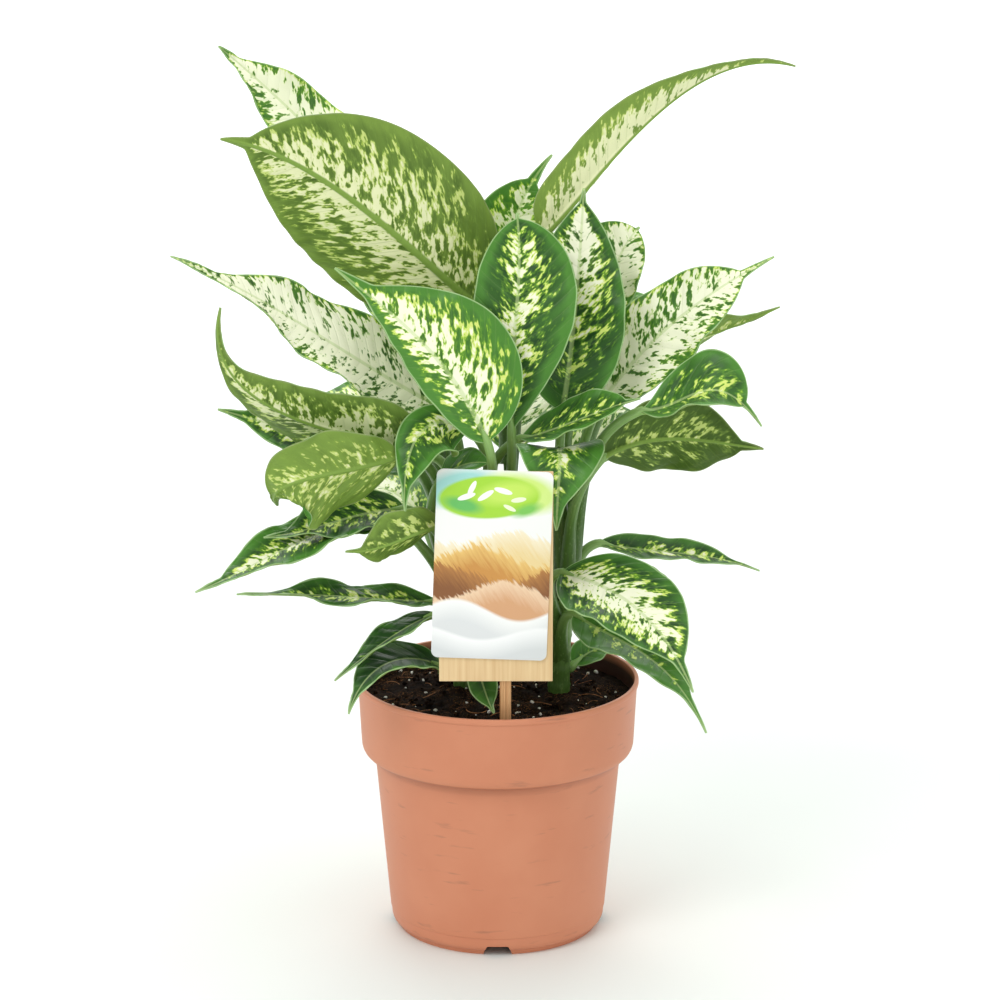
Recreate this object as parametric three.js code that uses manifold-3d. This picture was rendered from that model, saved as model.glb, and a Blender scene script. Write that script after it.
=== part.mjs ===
// A dieffenbachia in a 17 cm plastic nursery pot, with a care label on a stick.
//
// Millimetres, +Z up. The origin is on the floor under the pot's axis, and the label stands at the
// front, towards -Y. Each leaf blade is its own solid, and each cane is one solid with its leaf stalks.

import * as THREE from "three";
import { mergeVertices } from "three/addons/utils/BufferGeometryUtils.js";
import Module from "manifold-3d";

const wasm = await Module();
wasm.setup();

// ---------------------------------------------------------------------------------------------
// Driving dimensions
// ---------------------------------------------------------------------------------------------

const SEAT_GAP = 0.3; // clearance between pieces that touch
const SAME_POINT = 1e-4; // vertices this close are one

const RIM_RADIUS = 85;
const POT_HEIGHT = 155;
const POT_WALL = 1.6;
const LIP_HEIGHT = 3;
const COLLAR_TOP_RADIUS = 84;
const COLLAR_LOW_RADIUS = 82.2;
const COLLAR_LOW_Z = 117;
const COLLAR_FOOT_Z = 110; // the crease where the collar steps out from the body
const BODY_TOP_RADIUS = 73.8;
const BODY_TOP_Z = 104;
const BODY_LOW_RADIUS = 64.6;
const BODY_LOW_Z = 8;
const BODY_LOW_ROUND = 4.5;
const BODY_DRAFT = 0.3; // how far the inside of the body leans out above its rounded lower corner
const FLOOR_Z = 3.2; // underside of the pot's floor, above the foot ring
const FOOT_STEP = 1; // how far the body stands out above the foot ring
const CREASE_STEP = 1; // how far the crease stands out above the body
const CREASE_ROUND = 0.5;
const RIM_ROUND = 0.8;
const FOOT_RADIUS = 60.6;
const FOOT_WIDTH = 4;
const POT_SEGMENTS = 36;
const ROUND_STEPS = 2;

const NOTCH_COUNT = 4;
const NOTCH_FOOT_WIDTH = 18;
const NOTCH_TOP_WIDTH = 13;
const NOTCH_HEIGHT = 6.5;
const NOTCH_DEPTH = 9;
const DRAIN_COUNT = 6;
const DRAIN_RADIUS = 4;
const DRAIN_RING_RADIUS = 38;
const DRAIN_SIDES = 10;
const CUT_PAST = 1; // how far a cutter reaches past what it cuts

const SOIL_EDGE_Z = 142;
const SOIL_EDGE_RADIUS = 81.7;
const SOIL_CROWN_Z = 145;
const SOIL_SHOULDER_Z = 144.4;
const SOIL_SHOULDER_RADIUS = 51;
const SOCKET_FLOOR_Z = 112; // how far down the canes and the stick reach into the soil
const CANE_HOLE_GAP = 0.5;
const STICK_HOLE_GAP = 0.8; // on each narrow side of the stick

const CANE_FOOT_RADIUS = 7.5;
const CANE_TOP_RADIUS = 5;
const CANE_SIDES = 8;
const CANE_STEPS = 3;
const CANE_LEAN_Z = 148; // a cane stands upright below this height
const STALK_FOOT_RADIUS = 3.4;
const STALK_TIP_RADIUS = 2.2;
const STALK_SIDES = 6;
const STALK_STEPS = 5;
const STALK_SPREAD = 0.22; // how soon a stalk leans out, as a share of its reach
const STALK_RISE = 0.4; // how far it first climbs along the cane, as a share of its length
const STALK_NECK = 0.3; // how far it lies in line with the midrib at its end
const STALK_DROP = 0.12; // how far it comes up from below at its end

const BLADE_ROWS = 10;
const BLADE_COLUMNS = 4;
const BLADE_THICKNESS = 0.9;
const BLADE_BASE_WIDTH = 4.5;
const BLADE_TIP_WIDTH = 1.2;
const KEEL_DEPTH = 2.4; // how far the midrib stands out of the underside at the base
const OUTLINE_POWER = 1.5; // how pointed both ends of a blade's outline are
const OUTLINE_WIDEST = 0.4; // where along a blade it is widest, unless the leaf says otherwise
const POINT_START = 0.88; // past here the tip is a drawn-out point, unless the leaf says otherwise
const POINT_TAPER = 0.8; // how fast the point narrows, in blade widths
const SHOULDER = 6; // how crisply the blade's outline passes into its ends
const DEFAULT_FOLD = 9; // degrees
const DEFAULT_CURL = 10; // degrees
const RIGHT_PHASE = 2; // radians by which the right edge's swings run ahead of the left edge's
const END_CLUSTER = 0.5; // rows lie closer together at both ends of a blade

const LABEL_TILT = THREE.MathUtils.degToRad(2);
const STICK_WIDTH = 6.6;
const STICK_THICKNESS = 2.2;
const STICK_GROOVE = 0.5; // how deep and, to each side, how wide a groove is
const STICK_GROOVE_PLACE = 1.2; // from the middle of the stick to a groove
const CARD_THICKNESS = 0.8;
const CARD_CORNER_STEPS = 4;

// ---------------------------------------------------------------------------------------------
// Finishes
// ---------------------------------------------------------------------------------------------

const finish = (color, roughness) => new THREE.MeshStandardMaterial({ color, roughness, metalness: 0 });

const terracottaPlastic = () => finish("#d08a6a", 0.45);
const pottingSoil = () => finish("#33231a", 0.95);
const stalkGreen = () => finish("#8fb06a", 0.5);
const leafGreen = () => finish("#4e8a45", 0.4);
const paleLeaf = () => finish("#c9d6a0", 0.45);
const tanCard = () => finish("#d9b98a", 0.8);
const whiteCard = () => finish("#f2f2ee", 0.5);
const paleWood = () => finish("#c99a6b", 0.75);

// ---------------------------------------------------------------------------------------------
// Solids: helpers that make, join and cut closed meshes
// ---------------------------------------------------------------------------------------------

/** Turns a closed geometry into a solid, with its shared vertices merged. */
function toSolid(geometry) {
  const bare = geometry.clone();
  bare.deleteAttribute("normal");
  bare.deleteAttribute("uv");
  const merged = mergeVertices(bare, SAME_POINT);
  return new wasm.Manifold(new wasm.Mesh({
    numProp: 3,
    vertProperties: new Float32Array(merged.attributes.position.array),
    triVerts: new Uint32Array(merged.index.array),
  }));
}

/** Turns a solid back into a geometry. */
function toGeometry(solid) {
  const { vertProperties, triVerts } = solid.getMesh();
  const geometry = new THREE.BufferGeometry();
  geometry.setAttribute("position", new THREE.BufferAttribute(vertProperties, 3));
  geometry.setIndex(new THREE.BufferAttribute(triVerts, 1));
  return geometry;
}

/** Skins a row of rings that all have the same, even number of points, and closes both ends. */
function loft(rings) {
  const size = rings[0].length;
  const positions = rings.flat().flatMap((point) => point.toArray());
  const indices = [];
  for (let i = 0; i < rings.length - 1; i += 1) {
    for (let k = 0; k < size; k += 1) {
      const a = i * size + k;
      const b = i * size + (k + 1) % size;
      const c = a + size;
      const d = b + size;
      // The second half of a ring is split the other way, so both faces of a thin blade agree.
      const split = k < size / 2 ? [a, b, d, a, d, c] : [a, b, c, b, d, c];
      indices.push(...split);
    }
  }
  const last = (rings.length - 1) * size;
  for (let k = 0; k < size / 2 - 1; k += 1) {
    const opposite = size - 1 - k;
    indices.push(k, opposite, opposite - 1, k, opposite - 1, k + 1);
    indices.push(last + k, last + opposite - 1, last + opposite, last + k, last + k + 1, last + opposite - 1);
  }
  const geometry = new THREE.BufferGeometry();
  geometry.setAttribute("position", new THREE.Float32BufferAttribute(positions, 3));
  geometry.setIndex(indices);
  return geometry;
}

/** Wraps a geometry in a named mesh with its own material. */
function piece(name, geometry, material) {
  const mesh = new THREE.Mesh(geometry, material);
  mesh.name = name;
  return mesh;
}

/** A smooth curve through four points, reached at t = 0, 1/3, 2/3 and 1. */
function curveThrough([p0, p1, p2, p3]) {
  const mix = (a, b, c, d) => new THREE.Vector3()
    .addScaledVector(p0, a).addScaledVector(p1, b).addScaledVector(p2, c).addScaledVector(p3, d);
  const firstHandle = mix(-5 / 6, 3, -3 / 2, 1 / 3);
  const secondHandle = mix(1 / 3, -3 / 2, 3, -5 / 6);
  return new THREE.CubicBezierCurve3(p0, firstHandle, secondHandle, p3);
}

const vector = (numbers) => new THREE.Vector3(...numbers);
const UP = vector([0, 0, 1]);
const AHEAD = vector([0.1, -0.95, 0.2]).normalize(); // a direction that no stalk runs along

// ---------------------------------------------------------------------------------------------
// Pot and soil
// ---------------------------------------------------------------------------------------------

/** Points of a quarter round from one profile point to the next, bulging towards the corner. */
function quarterRound(from, corner, to) {
  return new THREE.QuadraticBezierCurve(from, corner, to).getPoints(ROUND_STEPS);
}

const flat = (x, y) => new THREE.Vector2(x, y);

/** The pot's inside profile, from the middle of its floor up to the rim, moved inwards by a gap. */
function insideProfile(gap) {
  const inset = POT_WALL + gap;
  return [
    flat(0, FLOOR_Z + inset),
    ...quarterRound(
      flat(BODY_LOW_RADIUS - inset - BODY_LOW_ROUND, FLOOR_Z + inset),
      flat(BODY_LOW_RADIUS - inset, FLOOR_Z + inset),
      flat(BODY_LOW_RADIUS - inset + BODY_DRAFT, FLOOR_Z + inset + BODY_LOW_ROUND),
    ),
    flat(BODY_TOP_RADIUS - inset, BODY_TOP_Z),
    flat(BODY_TOP_RADIUS - inset, COLLAR_FOOT_Z + inset),
    flat(COLLAR_LOW_RADIUS - inset - POT_WALL, COLLAR_FOOT_Z + inset + POT_WALL),
    flat(COLLAR_LOW_RADIUS - inset, COLLAR_LOW_Z + POT_WALL),
  ];
}

function makePot() {
  const outside = [
    flat(0, FLOOR_Z),
    flat(FOOT_RADIUS - FOOT_WIDTH, FLOOR_Z),
    flat(FOOT_RADIUS - FOOT_WIDTH, 0),
    flat(FOOT_RADIUS, 0),
    ...quarterRound(
      flat(FOOT_RADIUS + FOOT_STEP, FLOOR_Z),
      flat(BODY_LOW_RADIUS, FLOOR_Z),
      flat(BODY_LOW_RADIUS, BODY_LOW_Z),
    ),
    flat(BODY_TOP_RADIUS, BODY_TOP_Z),
    ...quarterRound(
      flat(BODY_TOP_RADIUS + CREASE_STEP, COLLAR_FOOT_Z - CREASE_ROUND),
      flat(COLLAR_LOW_RADIUS - CREASE_ROUND, COLLAR_FOOT_Z),
      flat(COLLAR_LOW_RADIUS, COLLAR_LOW_Z),
    ),
    flat(COLLAR_TOP_RADIUS, POT_HEIGHT - LIP_HEIGHT - RIM_ROUND),
    flat(RIM_RADIUS, POT_HEIGHT - LIP_HEIGHT),
    flat(RIM_RADIUS, POT_HEIGHT - RIM_ROUND),
    flat(RIM_RADIUS - RIM_ROUND, POT_HEIGHT),
  ];
  const inside = [
    ...insideProfile(0),
    flat(COLLAR_TOP_RADIUS - POT_WALL, POT_HEIGHT - LIP_HEIGHT),
    flat(COLLAR_TOP_RADIUS - POT_WALL + RIM_ROUND / 2, POT_HEIGHT),
  ];
  const shell = new THREE.LatheGeometry([...outside, ...inside.reverse()], POT_SEGMENTS);
  shell.rotateX(Math.PI / 2);
  let pot = toSolid(shell);
  for (let i = 0; i < NOTCH_COUNT; i += 1) {
    const turn = (i * 2 * Math.PI) / NOTCH_COUNT;
    pot = pot.subtract(toSolid(makeNotch().rotateZ(turn)));
  }
  for (let i = 0; i < DRAIN_COUNT; i += 1) {
    const drain = new THREE.CylinderGeometry(DRAIN_RADIUS, DRAIN_RADIUS, 4 * FLOOR_Z, DRAIN_SIDES);
    const turn = ((i + 0.5) * 2 * Math.PI) / DRAIN_COUNT;
    drain.rotateX(Math.PI / 2);
    drain.translate(DRAIN_RING_RADIUS * Math.cos(turn), DRAIN_RING_RADIUS * Math.sin(turn), FLOOR_Z);
    pot = pot.subtract(toSolid(drain));
  }
  return piece("pot", toGeometry(pot), terracottaPlastic());
}

/** The cutter for the drain notch in the front of the pot's lower edge. */
function makeNotch() {
  const outline = new THREE.Shape([
    flat(-NOTCH_FOOT_WIDTH / 2, -CUT_PAST),
    flat(NOTCH_FOOT_WIDTH / 2, -CUT_PAST),
    flat(NOTCH_TOP_WIDTH / 2, NOTCH_HEIGHT),
    flat(-NOTCH_TOP_WIDTH / 2, NOTCH_HEIGHT),
  ]);
  const cutter = new THREE.ExtrudeGeometry(outline, { depth: NOTCH_DEPTH, bevelEnabled: false });
  cutter.rotateX(Math.PI / 2);
  cutter.translate(0, NOTCH_DEPTH - FOOT_RADIUS - FOOT_WIDTH - CUT_PAST, 0);
  return cutter;
}

/** The potting soil, with a plain hole for each cane and for the label's stick. */
function makeSoil() {
  const profile = [
    ...insideProfile(SEAT_GAP),
    flat(SOIL_EDGE_RADIUS, SOIL_EDGE_Z),
    flat(SOIL_SHOULDER_RADIUS, SOIL_SHOULDER_Z),
    flat(0, SOIL_CROWN_Z),
  ];
  const body = new THREE.LatheGeometry(profile, POT_SEGMENTS);
  body.rotateX(Math.PI / 2);
  let soil = toSolid(body);
  const holeTop = SOIL_CROWN_Z + CUT_PAST;
  const depth = holeTop - SOCKET_FLOOR_Z + SEAT_GAP;
  for (const cane of CANES) {
    const radius = CANE_FOOT_RADIUS + CANE_HOLE_GAP;
    const hole = new THREE.CylinderGeometry(radius, radius, depth, CANE_SIDES);
    hole.rotateX(Math.PI / 2);
    hole.translate(cane.foot[0], cane.foot[1], holeTop - depth / 2);
    soil = soil.subtract(toSolid(hole));
  }
  const slotWidth = STICK_WIDTH + 2 * STICK_HOLE_GAP;
  const slot = new THREE.BoxGeometry(slotWidth, STICK_THICKNESS + 2 * SEAT_GAP, depth);
  slot.translate(LABEL.stick.x, LABEL.stick.y, holeTop - depth / 2);
  soil = soil.subtract(toSolid(slot));
  return piece("soil", toGeometry(soil), pottingSoil());
}

// ---------------------------------------------------------------------------------------------
// Canes: foot on the soil's socket floor, top above the uppermost stalk
// ---------------------------------------------------------------------------------------------

const CANES = [
  { name: "cane_front_right", foot: [37, 4], top: [43, -8, 222] },
  { name: "cane_front_left", foot: [-20, 12], top: [-32, -14, 232] },
  { name: "cane_centre", foot: [4, 24], top: [6, 16, 270] },
  { name: "cane_back_left", foot: [-30, 42], top: [-34, 46, 262] },
  { name: "cane_back_right", foot: [36, 44], top: [40, 46, 250] },
];

// ---------------------------------------------------------------------------------------------
// Leaves
//
// stalkFrom: the height at which the leaf's stalk leaves the cane
// widest:    where along the blade it is widest, as a share of its length
// point:     where along the blade its tip becomes a drawn-out point
// rib:       the midrib passes through these four points, from the base of the blade to its tip
// width:     the widest part of the blade, over its curve
// faces:     where the upper side looks, at the base and at the tip
// fold:      degrees by which each half rises from the midrib
// curl:      further degrees by which each half bends up to its edge
// lean:      by what share the right half is wider than the left
// wave:      how far the edge swings up and down, with `waves` swings from `phase` on
// pale:      true where most of the blade is cream
// ---------------------------------------------------------------------------------------------

const LEAVES = [
  {
    name: "leaf_top_left_far", cane: "cane_back_left", stalkFrom: 235, widest: 0.4,
    rib: [[-61, 50, 412], [-96, 55, 461], [-136, 55, 502], [-164, 45, 529]],
    width: 46, faces: [[0.1, -0.8, 0.6], [0.2, -0.8, 0.5]], wave: 4, waves: 3, pale: true,
  },
  {
    name: "leaf_top_left_broad", cane: "cane_centre", stalkFrom: 240, widest: 0.45, point: 0.92,
    rib: [[-4, -5, 376], [-51, -25, 423], [-102, -45, 467], [-156, -60, 491]],
    width: 102, faces: [[0, 0.97, 0], [0.1, 0.95, 0.2]], fold: 6, lean: -0.05, wave: 3, waves: 2,
  },
  {
    name: "leaf_left_white", cane: "cane_front_left", stalkFrom: 222,
    rib: [[-35, -20, 327], [-81, -46, 361], [-128, -83, 400], [-179, -128, 437]],
    width: 58, faces: [[0.2, -0.7, 0.65], [0.1, -0.6, 0.8]], lean: -0.06, wave: 4, waves: 3, pale: true,
  },
  {
    name: "leaf_centre_left", cane: "cane_front_left", stalkFrom: 226, widest: 0.38,
    rib: [[-6, -66, 317], [-28, -66, 357], [-56, -58, 386], [-93, -50, 415]],
    width: 62, faces: [[0.3, -0.9, 0.3], [0.1, -0.85, 0.5]], fold: 6, lean: 0.36, wave: 1.5, waves: 2,
  },
  {
    name: "leaf_centre", cane: "cane_centre", stalkFrom: 236, widest: 0.6, point: 0.97,
    rib: [[8, -42, 318], [9, -46, 365], [12, -40, 405], [11, -33, 444]],
    width: 60, faces: [[0, -0.95, 0.2], [0, -0.9, 0.4]], fold: 6, lean: 0.16, wave: 1.5, waves: 2,
  },
  {
    name: "leaf_centre_right", cane: "cane_front_right", stalkFrom: 210, widest: 0.45, point: 0.95,
    rib: [[38, -24, 325], [43, -26, 365], [47, -18, 408], [50, -8, 454]],
    width: 62, faces: [[-0.1, -0.95, 0.2], [-0.1, -0.9, 0.3]], fold: 6, wave: 2, waves: 2,
  },
  {
    name: "leaf_top_right_rolled", cane: "cane_centre", stalkFrom: 262, widest: 0.3,
    rib: [[26, -2, 425], [62, 21, 461], [114, 56, 503], [179, 90, 511]],
    width: 52, faces: [[-0.45, 0.7, 0.45], [-0.2, 0.5, 0.8]], fold: 15, curl: 30, wave: 2, waves: 2,
  },
  {
    name: "leaf_centre_back", cane: "cane_centre", stalkFrom: 250, widest: 0.55,
    rib: [[9, 29, 362], [7, 33, 388], [10, 33, 425], [32, 31, 467]],
    width: 60, faces: [[0, -0.9, 0.3], [0, -0.9, 0.4]], wave: 1.5, waves: 2,
  },
  {
    name: "leaf_right_pale_back", cane: "cane_back_right", stalkFrom: 225, widest: 0.62, point: 0.97,
    rib: [[54, 24, 354], [63, 26, 379], [71, 26, 404], [84, 30, 424]],
    width: 46, faces: [[-0.2, -0.9, 0.3], [-0.2, -0.85, 0.4]], lean: -0.2, wave: 3, waves: 3, pale: true,
  },
  {
    name: "leaf_right_white", cane: "cane_front_right", stalkFrom: 216, widest: 0.55,
    rib: [[59, 0, 321], [84, -5, 355], [116, -12, 386], [160, -20, 416]],
    width: 57, faces: [[-0.3, -0.75, 0.5], [-0.2, -0.7, 0.65]], lean: 0.1, wave: 3, waves: 3, pale: true,
  },
  {
    name: "leaf_right_behind", cane: "cane_back_right", stalkFrom: 214,
    rib: [[94, 34, 349], [117, 39, 355], [141, 42, 362], [169, 44, 373]],
    width: 38, faces: [[-0.2, 0.6, 0.8], [-0.2, 0.6, 0.8]], wave: 2, waves: 2,
  },
  {
    name: "leaf_right_drooping", cane: "cane_front_right", stalkFrom: 205, widest: 0.58,
    rib: [[83, -48, 331], [106, -58, 340], [126, -66, 347], [151, -70, 327]],
    width: 52, faces: [[-0.1, -0.45, 0.9], [0.4, -0.5, 0.7]], fold: 14, curl: 16, wave: 2, waves: 2,
  },
  {
    name: "leaf_right_lower", cane: "cane_front_right", stalkFrom: 200, widest: 0.5,
    rib: [[62, -30, 299], [92, -24, 308], [123, -27, 308], [155, -35, 305]],
    width: 54, faces: [[0, 0.92, 0.35], [0, 0.92, 0.35]], lean: -0.08, wave: 2.5, waves: 3,
  },
  {
    name: "leaf_right_edge_on", cane: "cane_centre", stalkFrom: 214, widest: 0.55,
    rib: [[13, -38, 312], [35, -44, 320], [59, -50, 331], [82, -56, 340]],
    width: 40, faces: [[0, -0.35, 0.95], [0, -0.35, 0.95]], wave: 1, waves: 2,
  },
  {
    name: "leaf_centre_under", cane: "cane_front_left", stalkFrom: 196,
    rib: [[-33, -46, 290], [-24, -51, 298], [-12, -55, 302], [0, -56, 300]],
    width: 26, faces: [[0, -0.4, 0.9], [0, -0.4, 0.9]], wave: 1.5, waves: 2,
  },
  {
    name: "leaf_front_hanging", cane: "cane_front_right", stalkFrom: 196, widest: 0.3,
    rib: [[35, -36, 304], [36, -56, 307], [35, -67, 291], [34, -62, 263]],
    width: 52, faces: [[0, -0.3, 0.95], [0.1, -0.97, 0.1]], fold: 6, curl: 6, wave: 1.5, waves: 2,
  },
  {
    name: "leaf_front_left_hanging", cane: "cane_front_left", stalkFrom: 214,
    rib: [[-17, -50, 321], [-40, -62, 325], [-51, -76, 309], [-53, -82, 280]],
    width: 38, faces: [[-0.1, -0.85, 0.5], [-0.5, -0.8, 0.1]],
    fold: 6, curl: 6, lean: -0.35, wave: 1.5, waves: 2,
  },
  {
    name: "leaf_left_upturned", cane: "cane_front_left", stalkFrom: 206, widest: 0.28,
    rib: [[-55, -48, 308], [-95, -75, 326], [-141, -94, 354], [-154, -107, 404]],
    width: 56, faces: [[0, 0.9, 0.4], [0.6, 0.7, 0.3]], wave: 2, waves: 2,
  },
  {
    name: "leaf_left_behind", cane: "cane_front_left", stalkFrom: 198, widest: 0.45,
    rib: [[-57, -16, 295], [-93, -30, 308], [-126, -42, 320], [-161, -53, 333]],
    width: 54, faces: [[0, -0.7, 0.7], [0, -0.7, 0.7]], wave: 2, waves: 2,
  },
  {
    name: "leaf_left_puckered", cane: "cane_front_left", stalkFrom: 190, widest: 0.52,
    rib: [[-56, -65, 309], [-85, -91, 307], [-116, -108, 303], [-126, -80, 283]],
    width: 60, faces: [[0, 0.9, 0.25], [0.1, 0.95, 0.1]], fold: 4, curl: 14, lean: 0.2, wave: 3, waves: 3,
  },
  {
    name: "leaf_left_shaded", cane: "cane_front_left", stalkFrom: 184,
    rib: [[-44, 12, 290], [-60, 4, 287], [-76, -6, 284], [-93, -16, 280]],
    width: 26, faces: [[0, -0.5, 0.85], [0, -0.5, 0.85]], wave: 1, waves: 2,
  },
  {
    name: "leaf_low_left_long", cane: "cane_front_left", stalkFrom: 172, widest: 0.5,
    rib: [[-58, -40, 262], [-91, -64, 267], [-131, -98, 257], [-169, -134, 247]],
    width: 36, faces: [[0, -0.45, 0.9], [-0.1, -0.45, 0.9]], wave: 3, waves: 3,
  },
  {
    name: "leaf_low_left_upper", cane: "cane_front_left", stalkFrom: 178,
    rib: [[-54, -46, 272], [-80, -61, 272], [-105, -77, 269], [-133, -95, 268]],
    width: 40, faces: [[0, -0.5, 0.85], [-0.1, -0.5, 0.85]], wave: 3, waves: 3,
  },
  {
    name: "leaf_low_left_curled", cane: "cane_front_left", stalkFrom: 168, widest: 0.5,
    rib: [[-33, -57, 265], [-50, -71, 263], [-67, -82, 259], [-87, -89, 258]],
    width: 38, faces: [[0, 0.85, 0.4], [0, 0.85, 0.4]], curl: 20, wave: 2, waves: 2,
  },
  {
    name: "leaf_low_left_flat", cane: "cane_front_left", stalkFrom: 158, widest: 0.42,
    rib: [[-35, -38, 213], [-73, -50, 219], [-112, -60, 224], [-151, -70, 227]],
    width: 26, faces: [[0, -0.25, 0.95], [0, -0.25, 0.95]], wave: 3.5, waves: 2.3, phase: -2.85,
  },
  {
    name: "leaf_low_left_arching", cane: "cane_front_left", stalkFrom: 154,
    rib: [[-36, -46, 208], [-55, -60, 203], [-75, -76, 193], [-94, -90, 181]],
    width: 26, faces: [[-0.3, -0.15, 0.95], [-0.4, -0.15, 0.9]], wave: 1.5, waves: 2,
  },
  {
    name: "leaf_rim_left", cane: "cane_front_left", stalkFrom: 150,
    rib: [[-33, -42, 174], [-54, -60, 185], [-73, -80, 182], [-86, -94, 162]],
    width: 36, faces: [[-0.2, -0.5, 0.85], [-0.5, -0.5, 0.6]], fold: 6, wave: 1.5, waves: 2,
  },
  {
    name: "leaf_low_right_broad", cane: "cane_front_right", stalkFrom: 170, widest: 0.45,
    rib: [[38, -34, 230], [67, -62, 226], [91, -92, 213], [111, -124, 185]],
    width: 62, faces: [[0.1, -0.6, 0.8], [0.3, -0.7, 0.6]], fold: 6, lean: 0.07, wave: 2, waves: 2,
  },
  {
    name: "leaf_rim_right", cane: "cane_front_right", stalkFrom: 156,
    rib: [[46, -20, 200], [72, -46, 192], [97, -74, 182], [120, -104, 154]],
    width: 39, faces: [[0, -0.5, 0.85], [0.4, -0.5, 0.7]], fold: 6, wave: 2, waves: 2,
  },
  {
    name: "leaf_low_right_narrow", cane: "cane_front_right", stalkFrom: 178,
    rib: [[61, 5, 237], [94, 10, 231], [126, 14, 226], [158, 18, 216]],
    width: 24, faces: [[0, -0.4, 0.9], [0, -0.4, 0.9]], wave: 1.5, waves: 2,
  },
  {
    name: "leaf_soil_sprout", cane: "cane_front_left", stalkFrom: 150,
    rib: [[-12, -40, 173], [-9, -50, 167], [-6, -58, 160], [-2, -62, 152]],
    width: 18, faces: [[0, -0.6, 0.7], [0, -0.8, 0.5]], fold: 6, wave: 0.5, waves: 1,
  },
  {
    name: "leaf_soil_right", cane: "cane_back_right", stalkFrom: 150,
    rib: [[46, 20, 156], [54, 26, 161], [62, 33, 162], [71, 40, 158]],
    width: 20, faces: [[0, -0.5, 0.8], [0.3, -0.4, 0.8]], wave: 0.5, waves: 1,
  },
  {
    name: "leaf_back_high", cane: "cane_centre", stalkFrom: 255,
    rib: [[4, 34, 350], [4, 64, 390], [2, 100, 406], [-2, 132, 392]],
    width: 64, faces: [[0, -0.8, 0.6], [0, 0.3, 0.95]], wave: 2.5, waves: 2,
  },
  {
    name: "leaf_back_left_high", cane: "cane_back_left", stalkFrom: 240,
    rib: [[-40, 58, 338], [-64, 82, 372], [-86, 104, 385], [-102, 118, 380]],
    width: 62, faces: [[0.5, -0.6, 0.6], [-0.2, 0.2, 0.95]], wave: 3, waves: 3, pale: true,
  },
  {
    name: "leaf_back_right_high", cane: "cane_back_right", stalkFrom: 232,
    rib: [[46, 60, 324], [72, 84, 350], [102, 104, 357], [134, 120, 340]],
    width: 60, faces: [[-0.5, -0.6, 0.6], [0.2, 0.2, 0.95]], wave: 2.5, waves: 2,
  },
  {
    name: "leaf_back_left_mid", cane: "cane_back_left", stalkFrom: 215,
    rib: [[-44, 52, 280], [-76, 72, 302], [-110, 90, 304], [-142, 102, 284]],
    width: 56, faces: [[0.5, -0.4, 0.75], [-0.2, 0.1, 0.95]], wave: 2.5, waves: 2,
  },
  {
    name: "leaf_back_mid", cane: "cane_centre", stalkFrom: 225,
    rib: [[6, 50, 282], [12, 84, 304], [14, 112, 300], [14, 138, 274]],
    width: 60, faces: [[0, -0.5, 0.85], [0, 0.4, 0.9]], wave: 2.5, waves: 2, pale: true,
  },
  {
    name: "leaf_back_right_mid", cane: "cane_back_right", stalkFrom: 208,
    rib: [[46, 60, 264], [74, 80, 286], [102, 96, 288], [128, 108, 270]],
    width: 54, faces: [[-0.4, -0.4, 0.8], [0.2, 0.2, 0.95]], wave: 3, waves: 3, pale: true,
  },
  {
    name: "leaf_back_left_low", cane: "cane_back_left", stalkFrom: 185,
    rib: [[-46, 60, 236], [-70, 84, 250], [-96, 106, 244], [-118, 122, 220]],
    width: 46, faces: [[0.3, -0.3, 0.9], [-0.3, 0.3, 0.9]], wave: 2, waves: 2,
  },
  {
    name: "leaf_back_low", cane: "cane_back_right", stalkFrom: 180,
    rib: [[24, 62, 226], [22, 92, 240], [18, 116, 232], [14, 134, 206]],
    width: 44, faces: [[0, -0.4, 0.9], [0, 0.5, 0.85]], wave: 2, waves: 2,
  },
  {
    name: "leaf_back_right_low", cane: "cane_back_right", stalkFrom: 165,
    rib: [[50, 56, 186], [72, 76, 198], [96, 92, 192], [116, 104, 170]],
    width: 44, faces: [[-0.3, -0.3, 0.9], [0.3, 0.3, 0.9]], wave: 2, waves: 2,
  },
  {
    name: "leaf_back_rim", cane: "cane_back_left", stalkFrom: 165,
    rib: [[-12, 58, 190], [-14, 80, 202], [-18, 102, 196], [-22, 118, 172]],
    width: 34, faces: [[0, -0.3, 0.95], [-0.1, 0.5, 0.85]], wave: 1.5, waves: 2,
  },
];

/** How far a blade reaches from its midrib at t, from base to tip, on its left (-1) or right (1). */
function halfWidth(leaf, t, side) {
  const widest = leaf.widest ?? OUTLINE_WIDEST;
  const share = Math.min(1, t / (leaf.point ?? POINT_START));
  const rise = (share / widest) ** (OUTLINE_POWER * widest);
  const fall = ((1 - share) / (1 - widest)) ** (OUTLINE_POWER * (1 - widest));
  const endWidth = t < widest ? BLADE_BASE_WIDTH : BLADE_TIP_WIDTH + POINT_TAPER * leaf.width * (1 - t);
  const width = ((leaf.width * rise * fall) ** SHOULDER + endWidth ** SHOULDER) ** (1 / SHOULDER);
  return (width / 2) * (1 + side * (leaf.lean ?? 0));
}

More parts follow.
